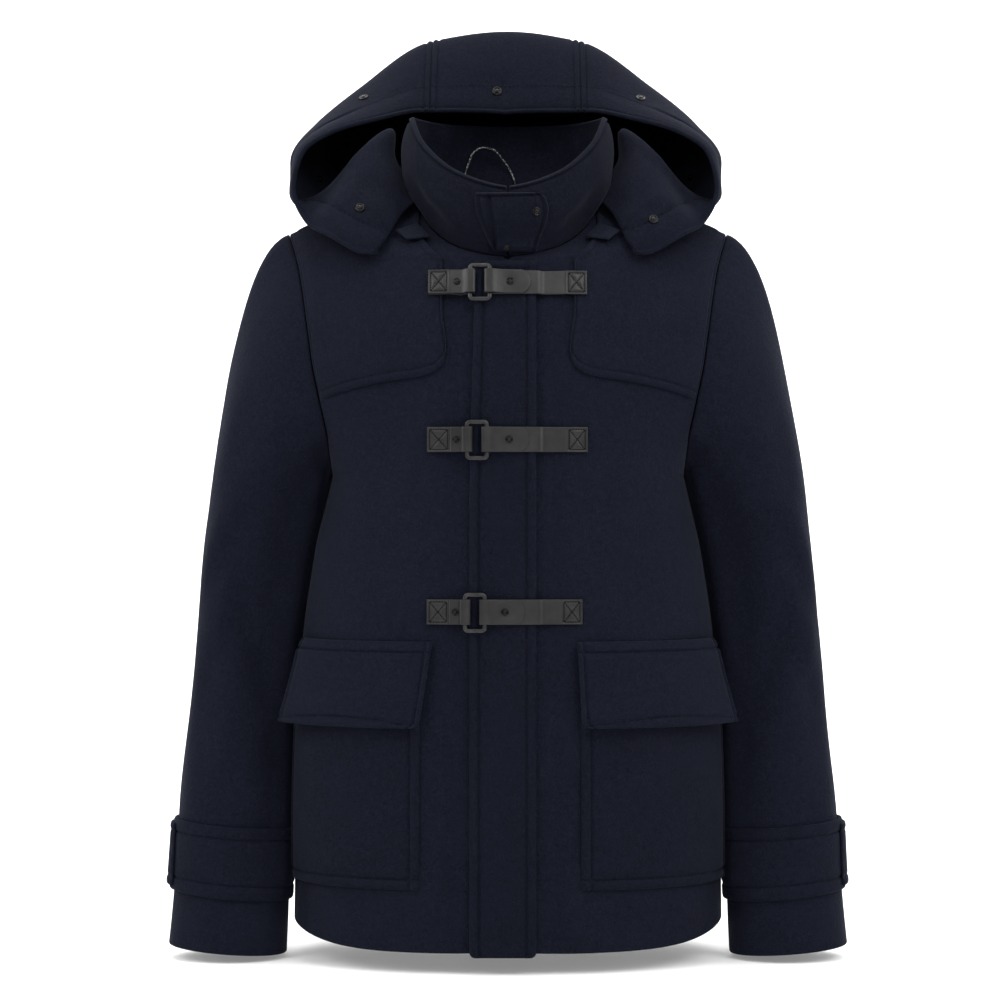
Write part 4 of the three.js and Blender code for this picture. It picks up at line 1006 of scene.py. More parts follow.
# ---------------------------------------------------------------- fronts and back
def panel_rows(rows, step):
    """Even rows from the hem to the underarm, and closer ones from there to the shoulder."""
    line = lambda t: panel_point(rows, t, 0.55 + 0 * t)
    lower = spaced(line, 0, UNDERARM_ROW, step, marks(), ())
    upper = spaced(line, UNDERARM_ROW, TOP_ROW, step * 0.8, (), marks())
    return np.concatenate([lower, upper[1:]])


def beside_placket(flat, side):
    """The front sinks a little along the placket's edge."""
    edge = PLACKET["left"] if side > 0 else -placket_right(flat[..., 2])
    return -1.8 * np.exp(-((np.abs(flat[..., 0]) - edge - 2) / 5) ** 2) * smooth(-flat[..., 2], 40, 60)


def body_fold(rows, side, seed, front):
    """The soft folds of a front or the back. The two fronts have them in slightly different places."""
    def fold(at, s, flat):
        across = np.abs(flat[..., 0])
        edge = smooth(1 - np.abs(s), 0, 0.12)
        push = 1.4 * folds(rows, across + 3 * side, flat[..., 2] + 6 * side)
        push += ripple(flat[..., 0] * side, flat[..., 2], 30, 0.6, seed)
        return push * edge + (beside_placket(flat, side) if front else 0)
    return fold


def build_fronts():
    rows = panel_rows(FRONT, 6.5)
    cols = spaced(lambda t: panel_point(FRONT, 3.0 + 0 * t, t), 0, 1, 4.2, marks(), marks(6))
    for side, name in SIDES:
        fold = body_fold(FRONT_FOLDS, side, SEED["front"] + side, True)
        sheet = cloth(front_point, rows, cols, 0, -WALL, fold=fold)
        sew(sheet, "front_" + name, WOOL_BODY, mirror=side < 0)


def back_point(at, s, lift):
    return to_side(body_point(BACK, at, np.abs(s), lift), s)


def build_back():
    """Whole up to the pit of the neck, then parted into two shoulders. The seam gap widens near the neck."""
    rows = panel_rows(BACK, 7.5)
    half = spaced(lambda t: panel_point(BACK, 3.0 + 0 * t, t), 0, 1, 6.5, (), marks(6))
    whole_rows = np.append(rows[rows < NECK_ROW - 0.02], NECK_ROW)
    parted_rows = np.append(NECK_ROW, rows[rows > NECK_ROW + 0.02])
    fold = body_fold(BACK_FOLDS, 1, SEED["back"], False)
    cols = np.concatenate([-half[:0:-1], half])
    lower = cloth(back_point, whole_rows, cols, 0, -WALL, (True, False), fold=fold)
    wing = cloth(back_point, parted_rows, half, 0, -WALL, (False, True), fold=fold)
    points, faces = mesh_of(lower)
    for mirror in (False, True):
        more, wing_faces = mesh_of(wing, mirror)
        faces += [[v + len(points) for v in face] for face in wing_faces]
        points = np.concatenate([points, more])
    obj = make("cloth_back", points, faces, WOOL_BODY, ["back"])
    weld(obj, 0.4 * MM)
    width, length = CUT["back"]
    area = area_of(lower["flat"]) + 2 * area_of(wing["flat"])


def weld(obj, reach):
    work = bmesh.new()
    work.from_mesh(obj.data)
    bmesh.ops.remove_doubles(work, verts=work.verts, dist=reach)
    work.to_mesh(obj.data)
    work.free()


# ---------------------------------------------------------------- sleeves and cuffs
def arm_closing(turn, flat):
    """How far the sleeve's inner side leans on the body, so that no light passes between them."""
    edge_x = np.interp(-flat[..., 2], -FRONT["edgeZ"][5::-1], FRONT["edgeX"][5::-1])
    room = np.maximum(flat[..., 0] - edge_x - 1.6, 0)
    reach = smooth(-flat[..., 2], 205, 222) * (1 - smooth(-flat[..., 2], 586, 602))
    return room * reach * np.exp(-((turn - 0.5) / 0.085) ** 4)


# The sleeve and the cuff are about this far round, in millimetres.
SLEEVE_ROUND = 400
CUFF_ROUND = 300


def sleeve_fold(side, seed):
    """The arm's folds, which fade toward the armhole, the cuff band and the body's side."""
    def fold(w, turn, flat):
        around = turn * SLEEVE_ROUND
        z = flat[..., 2]
        edge = smooth(w, 0.05, 0.8)
        soft = folds(SLEEVE_FOLDS, around + 4 * side, z + 8 * side)
        soft += folds(SLEEVE_FOLDS, around - SLEEVE_ROUND, z)
        band = 1 - 0.75 * smooth(-z, 520, 540)
        free = 1 - 0.8 * np.exp(-((turn - 0.5) / 0.1) ** 4)
        loose = soft * 1.3 + ripple(around * side, z, 26, 0.6, seed)
        return loose * edge * band * free + arm_closing(turn, flat)
    return fold


def build_sleeves():
    line = lambda t: sleeve_surface(t, 0.02 + 0 * t)
    cap = spaced(line, 0, 1, 6, marks(7), ())
    arm = spaced(line, 1, ARM_END, 6.5, (), marks(12))
    rows = np.concatenate([cap, arm[1:]])
    ring = lambda t: sleeve_surface(3 + 0 * t, t)
    upper = spaced(ring, SEAM_BACK - 1, SEAM_FRONT, 5.5, marks(), marks())
    under = spaced(ring, SEAM_FRONT, SEAM_BACK, 5.5, marks(), marks())
    for side, name in SIDES:
        fold = sleeve_fold(side, SEED["sleeve"] + side)
        for part, cols, ends in (("upper", upper, (True, False)), ("under", under, (False, True))):
            sheet = cloth(sleeve_point, rows, cols, 0, -WALL, round_cols=ends, fold=fold)
            sew(sheet, f"sleeve_{part}_{name}", WOOL_BODY, mirror=side < 0)


def build_cuffs():
    top, bottom, wall = CUFF_BAND["top"], CUFF_BAND["bottom"], CUFF_BAND["wall"]
    rows = spaced_rows(cuff_point, 0, top, bottom, 4.5, marks(11), marks(12))
    cols = np.linspace(0, 1, 97)
    tab_rows = spaced_rows(cuff_point, 0, top - 4, bottom + 4, 4.5, marks(7), marks(8))
    tab_cols = spaced_cols(cuff_point, -565, -0.16, 0.075, 4, marks(5), marks(5))
    band_grooves = [("start_row", 11, 0.75), ("end_row", 12, 0.75)]
    tab_grooves = [("start_row", 7, 0.5), ("end_row", 8, 0.5), ("start_col", 5, 0.5), ("end_col", 5, 0.5)]
    base = 2 * REST_GAP + wall
    for side, name in SIDES:
        def soft(z, turn, flat):
            loose = ripple(turn * CUFF_ROUND * side, z, 24, 0.45, SEED["cuff"] + side)
            return loose + arm_closing(turn, flat)

        band = cloth(cuff_point, rows, cols, REST_GAP + wall, REST_GAP,
                     grooves=band_grooves, fold=soft, wrap=True)
        sew(band, "cuff_band_" + name, TRIM_PAINTED_SHADE_WOOL, side < 0)
        tab = cloth(cuff_point, tab_rows, tab_cols, base + 2.2, base, grooves=tab_grooves, fold=soft)
        sew(tab, "cuff_tab_" + name, WOOL_BODY, side < 0)
        topstitch(band, side < 0)
        topstitch(tab, side < 0, 3.4)


# ---------------------------------------------------------------- collar and throat tab
COLLAR_FOLDS = table(FOLD, [
    [92, 32, 48, -12, 9.5, -3],
    [72, 26, 34, -12, 8.5, 1.8],
    [124, 46, 86, 0, 11, 1.8],
    [30, 18, 16, -2, 6, -1],
    [150, 90, 150, 30, 20, -1.8],
    [190, 92, 175, 50, 12, -2.4],
    [228, 90, 236, 50, 12, 2],
])


def collar_side_point(v, h, lift):
    """One half of the collar, or the other for a negative h."""
    return to_side(collar_point(np.abs(h), v, lift), h)


def collar_settle(h, v):
    """The collar stands up straight out of its seam before it swells."""
    bulge = eased(COLLAR_TOP["bulge"], np.abs(h) * COLLAR_ROWS) * (1 - smooth(np.abs(h), 0.27, 0.36))
    low = np.clip(v, 0, 0.5)
    return bulge * (np.sin(np.pi * low) ** 2 - 4 * low * (1 - low))


def end_hollow(flat):
    """A hollow in collar and tab beside the collar's end, which lies under the tab."""
    x, z = flat[..., 0], flat[..., 2]
    line = np.interp(z, [-30, 13], [-11.5, -16.2])
    fade = smooth(z, -37, -30) * (1 - smooth(z, 11, 17))
    return (0.8 * np.exp(-((x - line + 5) / 2.4) ** 2) - 3.8 * np.exp(-((x - line) / 1.8) ** 2)) * fade


def throat_fold(at, u, flat):
    """The tab's hollow, and the collar's own settling."""
    up_collar = np.clip((flat[..., 2] + 29) / 53, 0, 1)
    return end_hollow(flat) + collar_settle(np.abs(flat[..., 0]) / COLLAR_REACH, up_collar)


def collar_fold(v, h, flat):
    around = np.abs(h) * COLLAR_REACH
    mark = np.sign(h)
    soft = folds(COLLAR_FOLDS, around + 4 * mark, flat[..., 2] + 3 * mark)
    edge = smooth(v, 0, 0.2) * (1 - 0.5 * smooth(v, 0.85, 1))
    loose = (1.6 * soft + ripple(around * mark, flat[..., 2], 20, 0.6, SEED["collar"])) * edge
    return loose + collar_settle(h, v) + end_hollow(flat) * (np.abs(h) < 0.25)


def build_collar():
    half = spaced_cols(collar_side_point, 0.7, 0.004, 1, 4.5, marks(4.5), ())
    cols = np.concatenate([half, -half[-2::-1]])
    rows = spaced_rows(collar_side_point, 0.3, 0, 1, 4.5, marks(), marks(4.5))
    sheet = cloth(collar_side_point, rows, cols, 0, -COLLAR_WALL, radius=2.6,
                  grooves=[("end_row", 4.5, 0.9)], fold=collar_fold)
    sew(sheet, "collar", COLLAR_PAINTED_SHADE_WOOL)
    topstitch(sheet, pitch=3.4)


def build_collar_tab():
    rows = spaced_rows(throat_point, 0.5, 0, 5, 2.6, marks(4), marks(4))
    cols = spaced_cols(throat_point, 2.5, 0, 1, 2.6, marks(4), marks(4))
    base = REST_GAP + 0.2
    sheet = cloth(throat_point, rows, cols, base + WALL, base, fold=throat_fold,
                  grooves=[("end_row", 4, 1), ("start_col", 4, 0.6), ("end_col", 4, 1)])
    sew(sheet, "collar_tab", COLLAR_PAINTED_SHADE_WOOL)
    topstitch(sheet, pitch=3.2)


# ---------------------------------------------------------------- hood
HOOD_FOLDS = table(FOLD, [
    [60, 150, 120, 250, 16, 2.2],
    [95, 120, 150, 230, 14, -2.4],
    [150, 60, 190, 190, 20, 2.2],
    [210, 120, 250, 240, 22, -1.8],
    [30, 60, 70, 170, 12, -2],
    [270, 40, 300, 180, 26, 2],
    [340, 60, 350, 200, 30, -1.8],
])

# Press studs: place a and v on the hood, side of the wearer, face (1 for the one toward the wearer's head),
# radius, and how far it stands off the cloth.
HOOD_STUDS = {
    "hood_stud_centre": (8.9, 0.945, -1, -1, 5.2, 0.9),
    "hood_stud_side_left": (7, 0.9, 1, -1, 5.2, -0.1),
    "hood_stud_side_right": (6.9, 0.885, -1, -1, 5.2, 0.1),
    "hood_stud_inner_left": (5.38, 0.645, 1, 1, 3.6, 2.2),
    "hood_stud_inner_right": (5.28, 0.655, -1, 1, 3.6, 2.2),
    "hood_stud_lappet_left": (1.45, 0.795, 1, 1, 5, 0.5),
    "hood_stud_lappet_right": (1.5, 0.72, -1, 1, 5, 0.5),
}


def calm_at_studs(flat, side):
    """Cloth lies still under a press stud."""
    still = np.ones(flat.shape[:2])
    for a, v, own, *_ in HOOD_STUDS.values():
        if own == side:
            foot = hood_point(a, v, 0, own)
            still *= smooth(np.linalg.norm(flat - foot, axis=-1), 7, 24)
    return still


# The hood is about this long from neck to front edge, and from row to row of its table. Its hem is this wide.
HOOD_LENGTH = 260
HOOD_ROW_LENGTH = 44
HOOD_HEM = 29
HOOD_GROOVES = [("end_col", 4.5, 0.5), ("end_col", HOOD_HEM, 1.3), ("end_row", 6, 0.6)]


def hood_fold(side, seed):
    """Folds of a hood's side, which fade toward its neck, lappet, gusset and studs."""
    def fold(a, v, flat):
        around, along = np.abs(a) * HOOD_ROW_LENGTH, v * HOOD_LENGTH
        edge = smooth(v, 0.05, 0.25) * (1 - 0.6 * smooth(v, 0.9, 1)) * smooth(np.abs(a), 0, 0.8)
        edge = edge * (1 - smooth(a, GUSSET_ROW - 0.4, GUSSET_ROW)) * calm_at_studs(flat, side)
        loose = folds(HOOD_FOLDS, around + 5 * side, along) + ripple(around * side, along, 24, 0.7, seed)
        return loose * edge
    return fold


def gusset_point(a, v, lift):
    """The hood's middle strip. Past the crown its other half follows."""
    far_half = (a > CROWN_ROW)[..., None]
    return np.where(far_half, hood_point(2 * CROWN_ROW - a, v, lift, -1), hood_point(a, v, lift, 1))


def gusset_fold(a, v, flat):
    near, far = (smooth(row, GUSSET_ROW, GUSSET_ROW + 0.4) for row in (a, 2 * CROWN_ROW - a))
    edge = smooth(v, 0, 0.2) * near * far
    loose = ripple(flat[..., 0], v * HOOD_LENGTH, 26, 0.6, SEED["gusset"])
    return loose * edge * calm_at_studs(flat, -1)


def build_hood():
    cols = spaced_cols(hood_point, 6, 0, 1, 5.5, marks(), marks(4.5, HOOD_HEM))
    rows = spaced_rows(hood_point, 0.8, 0, GUSSET_ROW, 5.5, marks(), marks(6))
    for side, name in SIDES:
        place = lambda a, v, lift: hood_point(a, v, lift, side)
        sheet = cloth(place, rows, cols, WALL / 2, -WALL / 2, both=True,
                      grooves=HOOD_GROOVES, fold=hood_fold(side, SEED["hood"] + side))
        sew(sheet, "hood_side_" + name, HOOD_PAINTED_SHADE_WOOL)
        for face in ("outer", "inner"):
            sew_along(sheet, "end_col", HOOD_HEM, [("end_row", 0.5)], face=face)
            sew_along(sheet, "end_row", 6, face=face)
    half = spaced_rows(hood_point, 0.8, GUSSET_ROW, CROWN_ROW, 5.5, marks(6), ())
    rows = np.concatenate([half, 2 * CROWN_ROW - half[-2::-1]])
    sheet = cloth(gusset_point, rows, cols, WALL / 2, -WALL / 2, both=True,
                  grooves=HOOD_GROOVES + [("start_row", 6, 0.6)], fold=gusset_fold)
    sew(sheet, "hood_centre", HOOD_PAINTED_SHADE_WOOL)
    for edge, distance in (("end_col", HOOD_HEM), ("start_row", 6), ("end_row", 6)):
        sew_along(sheet, edge, distance, face="inner")


def build_neck_tabs():
    rows = spaced_rows(neck_tab_point, 0.5, 0, 1, 2.5, marks(), marks())
    cols = spaced_cols(neck_tab_point, 0.5, 0, 1, 2.5, marks(), marks())
    tab = cloth(neck_tab_point, rows, cols, 2, 0)
    for side, name in SIDES:
        sew(tab, "hood_neck_tab_" + name, TRIM_PAINTED_SHADE_WOOL, mirror=side < 0)


# ---------------------------------------------------------------- placket, yokes, pockets
def placket_corner(at, u):
    """Rounds the lower corners of the placket. A row of FRONT is about 90 mm high there."""
    radius, width = 4.5, 57
    height = np.where(at < 0, (at + 1) * PLACKET["drop"], PLACKET["drop"] + 90 * at)
    t = np.clip((radius - height) / radius, 0, 1)
    return u - radius / width * (1 - np.sqrt(1 - t * t)) * (smooth(u, 0.5, 1) - 1 + smooth(u, 0, 0.5))


def build_placket():
    place = lambda at, u, lift: placket_point(at, placket_corner(at, u), lift)
    upper = spaced_rows(placket_point, 0.5, 0, 12.85, 6, (1, 2.6), marks(8))
    rows = np.concatenate([[-1.0, -0.92, -0.73, -0.47, -0.2], upper])
    cols = spaced_cols(placket_point, 3, 0, 1, 4, marks(8), marks(8))

    def fold(at, u, flat):
        soft = ripple(flat[..., 0], flat[..., 2], 34, 0.4, SEED["placket"])
        return soft + sewn_down(flat, ["start_col"], 0.5, 3)

    sheet = cloth(place, rows, cols, REST_GAP + PLACKET["wall"], REST_GAP,
                  grooves=[("start_col", 8, 0.9), ("end_col", 8, 1.1), ("end_row", 8, 0.6)], fold=fold)
    sew(sheet, "placket", TRIM_PAINTED_SHADE_WOOL)
    topstitch(sheet)


def build_yokes():
    rows = spaced_rows(yoke_point, 0.4, 0, 6, 4.5, marks(7), marks())
    cols = spaced_cols(yoke_point, 3, 0, 1, 4.5, marks(7), marks())
    base = REST_GAP + 0.2

    def fold(u, v, flat):
        return sewn_down(flat, ["start_row", "start_col"], 0.5, 2.2) + sewn_down(flat, ["end_row"], 2.2, 6)

    sheet = cloth(yoke_point, rows, cols, base + OVERLAY, base,
                  grooves=[("start_row", 7, 0.5), ("start_col", 7, 0.5)], fold=fold)
    for side, name in SIDES:
        sew(sheet, "yoke_" + name, WOOL_BODY, side < 0)
        topstitch(sheet, side < 0)


def build_pocket(name, mirror, place):
    """A patch pocket. The flap hides the upper 66 mm of its side seams."""
    rows = spaced_rows(place, 0.5, 0, 1, 5, marks(), marks(9))
    cols = spaced_cols(place, 0.5, 0, 1, 5, marks(9), marks(9))
    edges = ["start_col", "end_col", "end_row"]

    def fold(v, u, flat):
        soft = ripple(flat[..., 0], flat[..., 2], 26, 0.6, SEED["pocket"]) * smooth(u, 0, 0.1)
        return soft + sewn_down(flat, edges, 0.3, 3)

    sheet = cloth(place, rows, cols, REST_GAP + OVERLAY, REST_GAP,
                  grooves=[(edge, 9, 0.9) for edge in edges], fold=fold)
    sew(sheet, "pocket_" + name, TRIM_PAINTED_SHADE_WOOL, mirror)
    topstitch(sheet, mirror, stops=[("start_row", 66)])


def build_flap(name, mirror, place):
    rows = spaced_rows(place, 0.5, 0, 1, 4.5, marks(10), marks(10))
    cols = spaced_cols(place, 0.5, 0, 1, 4.5, marks(5), marks(5))
    fold = lambda v, u, flat: ripple(flat[..., 0], flat[..., 2], 30, 0.6, SEED["flap"]) * v
    grooves = [("start_row", 10, 1), ("end_row", 9, 1), ("start_col", 5, 0.8), ("end_col", 5, 0.8)]
    sheet = cloth(place, rows, cols, REST_GAP + WALL, REST_GAP, grooves=grooves, fold=fold)
    sew(sheet, "pocket_flap_" + name, WOOL_BODY, mirror)
    topstitch(sheet, mirror)


def build_pockets():
    for pocket in POCKETS:
        name, mirror = pocket["name"], pocket["side"] < 0
        build_pocket(name, mirror, lambda v, u, lift: pocket_point(pocket["inner"], u, v, lift))
        build_flap(name, mirror, lambda v, u, lift: flap_point(pocket, u, v, lift))


# ---------------------------------------------------------------- straps, rings and press studs
STRAP_WIDTH, STRAP_WALL = 22, 1.5
RING = {"width": 20, "height": 35, "bar": 4.2, "wall": 2.2}
# Heights and places across the coat. "under" lifts the ends over the yokes, and "slope" is how much of its
# true height a strap shows on the sloping chest.
FASTENING = ["z", "squareFrom", "squareTo", "ringX", "tongue", "stud", "smallStud", "farTo", "under", "slope"]
FASTENINGS = {
    "top": [-62, -67.4, -49.3, -23.6, 18.8, 1.7, -42.9, 67, 3.4, 0.93],
    "middle": [-196, -68.6, -48.9, -26, 17.5, 0.9, -43.8, 68, 0, 0.98],
    "bottom": [-343.5, -69, -50, -28, 14.5, -2.6, -44.6, 63.5, 0, 0.98],
}
PLACKET_TOP_FACE = REST_GAP + PLACKET["wall"]
RING_LIFT = PLACKET_TOP_FACE + 0.7 + STRAP_WALL + 0.4
LOW_LAYER = REST_GAP + STRAP_WALL / 2
PLACKET_LAYER = PLACKET_TOP_FACE + LOW_LAYER
OVER_BAR = RING_LIFT + RING["wall"] + 0.4 + STRAP_WALL / 2


def bar_turn(bar, toward):
    """The strap's way round the ring's bar, as distance across and height, from under it to over it."""
    reach = RING["bar"] / 2 + 0.7 + STRAP_WALL / 2
    middle = RING_LIFT + RING["wall"] / 2
    return [
        [bar - toward * 2, PLACKET_LAYER],
        [bar + toward * 2.4, PLACKET_LAYER + 0.1],
        [bar + toward * reach, middle - 1.1],
        [bar + toward * reach, middle + 1.1],
        [bar + toward * 2.4, OVER_BAR - 0.05],
        [bar - toward * 2, OVER_BAR],
    ]


def small_stud_lift(row):
    return LOW_LAYER + max(row["under"] + 2.1, 4)


def right_path(row):
    """The short strap, from its square through the ring and back: places across the coat and heights."""
    bar = row["ringX"] - RING["width"] / 2 + RING["bar"] / 2
    clear = min(bar - 3, float(placket_right(row["z"])) - 1.5)
    low = LOW_LAYER + row["under"]
    return [
        [row["squareFrom"], low],
        [row["squareTo"], low],
        [clear - 6, LOW_LAYER + 0.6],
        [clear, PLACKET_LAYER],
        *bar_turn(bar, 1),
        [clear - 1, OVER_BAR - 0.9],
        [row["smallStud"] + 4, small_stud_lift(row)],
        [row["smallStud"] - 4, small_stud_lift(row)],
        [row["squareTo"], low + STRAP_WALL + 0.6],
        [row["squareFrom"], low + STRAP_WALL + 0.3],
    ]


def left_path(row):
    """The long strap, from its square through the ring and back to its tongue."""
    bar = row["ringX"] + RING["width"] / 2 - RING["bar"] / 2
    return [
        [row["farTo"], LOW_LAYER + row["under"]],
        [row["farTo"] - 8, LOW_LAYER + row["under"]],
        [51.5, LOW_LAYER + row["under"]],
        [PLACKET["left"] + 7, LOW_LAYER + 0.8 + row["under"] * 0.4],
        [PLACKET["left"] + 1, PLACKET_LAYER],
        [12, PLACKET_LAYER],
        [0, PLACKET_LAYER],
        *bar_turn(bar, -1),
        [bar + 7, OVER_BAR - 1.2],
        [bar + 13, PLACKET_LAYER + STRAP_WALL + 0.9],
        [row["tongue"] - 9, PLACKET_LAYER + STRAP_WALL + 0.4],
        [row["tongue"] - 4, PLACKET_LAYER + STRAP_WALL + 0.3],
        [row["tongue"], PLACKET_LAYER + STRAP_WALL + 0.3],
    ]


# The sewn square lies this far inside the strap's edges.
SQUARE_INSET = 2.2


def seam_distance(x, w, square):
    """Distance to the nearest sewn line of a square: its border and its two diagonals."""
    half_x, half_w = (square[1] - square[0]) / 2 - SQUARE_INSET, STRAP_WIDTH / 2 - SQUARE_INSET
    u = x - (square[0] + square[1]) / 2
    out_x, out_w = np.abs(u) - half_x, np.abs(w) - half_w
    outside = np.hypot(np.maximum(out_x, 0), np.maximum(out_w, 0))
    border = np.where((out_x > 0) | (out_w > 0), outside, np.minimum(-out_x, -out_w))
    diagonals = np.minimum(np.abs(u * half_w - w * half_x), np.abs(u * half_w + w * half_x))
    cross = diagonals / math.hypot(half_x, half_w)
    inside = (out_x < 0) & (out_w < 0)
    return np.where(inside, np.minimum(border, cross), border)


def pressed(x, w, square):
    """Leather puffs up between sewn lines and sinks under the thread."""
    near = seam_distance(x, w, square)
    start, end = square
    in_square = smooth(x, start - 0.4, start + 0.2) * (1 - smooth(x, end - 0.2, end + 0.6))
    return (0.55 * (1 - np.exp(-(near / 1.6) ** 2)) - 0.45 * np.exp(-(near / 0.6) ** 2)) * in_square


def strap_grid(total):
    """Distances along and across a strap, closer at its edges."""
    rim = np.array([0, 0.12, 0.35, 0.7])
    half_width = STRAP_WIDTH / 2
    inner_width = half_width - 1.1
    along = [rim, np.linspace(1.2, total - 1.2, int(total / 0.8)), (total - rim)[::-1]]
    across = [rim - half_width, np.linspace(-inner_width, inner_width, 29), (half_width - rim)[::-1]]
    return np.meshgrid(np.concatenate(along), np.concatenate(across), indexing="ij")


def round_tongue(D, W, total):
    """Draws the strap's end in at its sides, over its last 22 mm."""
    cut = 9.5 * (1 - np.sqrt(1 - 0.96 * (2 * W / STRAP_WIDTH) ** 2))
    return D - cut * np.clip((D - (total - 22)) / 22, 0, 1)


def build_strap(name, row, stops, square, stud_x, has_tongue):
    """One folded strap. The long one with the tongue starts at its square, and the short one ends there."""
    t = np.linspace(0, len(stops) - 1, 60 * len(stops))
    line = np.stack([eased(c, t) for c in np.array(stops, float).T], -1)
    run = lengths_along(line, 0)
    total = float(run[-1])
    D, W = strap_grid(total)
    edge = np.minimum(STRAP_WIDTH / 2 - np.abs(W), np.minimum(D, total - D))
    if has_tongue:
        D = round_tongue(D, W, total)
    at = lambda d: (np.interp(d, run, line[:, 0]), np.interp(d, run, line[:, 1]))
    x, h = at(D)
    (x1, h1), (x0, h0) = at(np.minimum(D + 0.4, total)), at(np.maximum(D - 0.4, 0))
    length = np.hypot(x1 - x0, h1 - h0)
    half = STRAP_WALL / 2 * rounding(edge, 0.6)
    step_x, step_h = half * (h1 - h0) / length, half * (x1 - x0) / length
    in_square = D < 20 if has_tongue else D > total - 24
    quilt = np.where(in_square, pressed(x, W, square), 0)
    dimple = np.where(D > total / 2, -0.55 * np.exp(-(np.hypot(x - stud_x, W) / 3.4) ** 2), 0)
    lift = h + ripple(x, W, 6, 0.12, SEED["strap"]) * smooth(edge, 0, 2)
    z = row["z"] + W * row["slope"]
    one = front_at(x - step_x, z, lift + step_h + dimple * has_tongue)
    other = front_at(x + step_x, z, lift - step_h + quilt + dimple * (not has_tongue))
    sheet = {"outer": other, "inner": one, "wrap": False, "shut": edge < 1e-6}
    points, faces = mesh_of(sheet)
    obj = make("leather_" + name, points, faces, LEATHER, [name])
    obj.data.materials.append(EDGE_PAINT)
    rim = np.concatenate([edge.ravel(), edge[~sheet["shut"]]]) < 0.2
    for polygon in obj.data.polygons:
        polygon.material_index = int(all(rim[v] for v in polygon.vertices))
    sewn_at = 10 if has_tongue else total - 10
    sew_square(row, square, float(np.interp(sewn_at, run, line[:, 1])) + STRAP_WALL / 2)


def sew_square(row, square, lift):
    """Black stitches round a square and along its two diagonals."""
    x0, x1, w = square[0] + SQUARE_INSET, square[1] - SQUARE_INSET, STRAP_WIDTH / 2 - SQUARE_INSET
    corners = [(x0, -w), (x1, -w), (x1, w), (x0, w)]
    for a, b in [(0, 1), (1, 2), (2, 3), (3, 0), (0, 2), (1, 3)]:
        t = np.linspace(0, 1, 40)
        x = corners[a][0] + (corners[b][0] - corners[a][0]) * t
        z = row["z"] + (corners[a][1] + (corners[b][1] - corners[a][1]) * t) * row["slope"]
        line = front_at(x, z, lift + 0.05 + 0 * t)
        normals = unit(front_at(x, z, lift + 5 + 0 * t) - line)
        stitch_line(LEATHER_STITCHES, line, normals, 2.1, 1.75, 0.4)


def build_ring(name, row):
    """A rounded rectangle of flat wire with soft edges."""
    path = []
    corner, bar = 2.6, RING["bar"] - 0.6
    centre_w, centre_h = (RING["width"] - bar) / 2, (RING["height"] - bar) / 2
    for sx, sz, quarter in ((1, 1, 0), (-1, 1, 1), (-1, -1, 2), (1, -1, 3)):
        middle = (sx * (centre_w - corner), sz * (centre_h - corner))
        for angle in np.linspace(0, math.pi / 2, 9) + quarter * math.pi / 2:
            path.append((*middle, math.cos(angle), math.sin(angle)))
    path = np.array(path)
    turn = np.linspace(0, 2 * math.pi, 17)[:-1]
    round_off = lambda v: np.sign(v) * np.abs(v) ** 0.7
    side = round_off(np.cos(turn)) * bar / 2
    rise = round_off(np.sin(turn)) * RING["wall"] / 2
    x = path[:, 0, None] + (corner + side) * path[:, 2, None]
    z = path[:, 1, None] + (corner + side) * path[:, 3, None]
    height = RING_LIFT + RING["wall"] / 2 + rise
    points = front_at(row["ringX"] + x, row["z"] - 0.6 + z * row["slope"], height + 0 * x)
    m, n = x.shape
    faces = [[i * n + j, ((i + 1) % m) * n + j, ((i + 1) % m) * n + (j + 1) % n, i * n + (j + 1) % n]
             for i in range(m) for j in range(n)]
    make("metal_" + name, points.reshape(-1, 3), faces, METAL, [name])


# Radius and height of a press stud's head: rolled rim, groove and middle dome.
STUD_HEAD = [
    (1, 0), (1.0, 0.3), (0.96, 0.5), (0.88, 0.62), (0.76, 0.6), (0.66, 0.42), (0.58, 0.3), (0.52, 0.42),
    (0.44, 0.68), (0.32, 0.88), (0.16, 0.98),
]


def build_stud(name, radius, height, foot, top):
    """A press stud's head, turned round the line from its foot toward top."""
    axis = unit(top - foot)
    one = unit(np.cross(axis, [0, 0, 1]))
    two = np.cross(axis, one)
    turn = np.linspace(0, 2 * math.pi, 33)[:-1]
    circle = np.outer(np.cos(turn), one) + np.outer(np.sin(turn), two)
    points = [foot[None]] + [foot + circle * r * radius + axis * h * height for r, h in STUD_HEAD]
    points.append((foot + axis * height)[None])
    n, m = len(turn), len(STUD_HEAD)
    at = lambda i, j: 1 + i * n + j % n
    faces = tube_faces(m, n, 1)
    faces += [[0, at(0, j + 1), at(0, j)] for j in range(n)]
    faces += [[1 + m * n, at(m - 1, j), at(m - 1, j + 1)] for j in range(n)]
    make("metal_" + name, np.concatenate(points), faces, STUD_METAL, [name])


def build_fastenings():
    for key, values in FASTENINGS.items():
        row = dict(zip(FASTENING, values))
        square = (row["squareFrom"], row["squareTo"])
        build_strap("strap_right_" + key, row, right_path(row), square, row["smallStud"], False)
        square = (row["farTo"] - 18, row["farTo"])
        build_strap("strap_left_" + key, row, left_path(row), square, row["stud"], True)
        build_ring("ring_" + key, row)
        place = lambda x, lift: front_at(x, row["z"], lift)
        tongue_top = PLACKET_LAYER + 1.5 * STRAP_WALL + 0.35
        build_stud("strap_stud_left_" + key, 3.3, 1.7, place(row["stud"], tongue_top), place(row["stud"], 20))
        small, low = row["smallStud"], small_stud_lift(row) + STRAP_WALL / 2 + 0.05
        build_stud("strap_stud_right_" + key, 3, 1.5, place(small, low), place(small, 20))
    stitches_mesh("stitching_leather", LEATHER_STITCHES, BLACK_THREAD)


# Press studs of the throat tab and of the collar's seam: x, z, radius and how far each stands off.
COLLAR_STUDS = {"collar_tab_stud": (23.5, 0.5, 3.8, 3.5), "collar_base_stud": (-1, -30, 2.4, 4.5)}


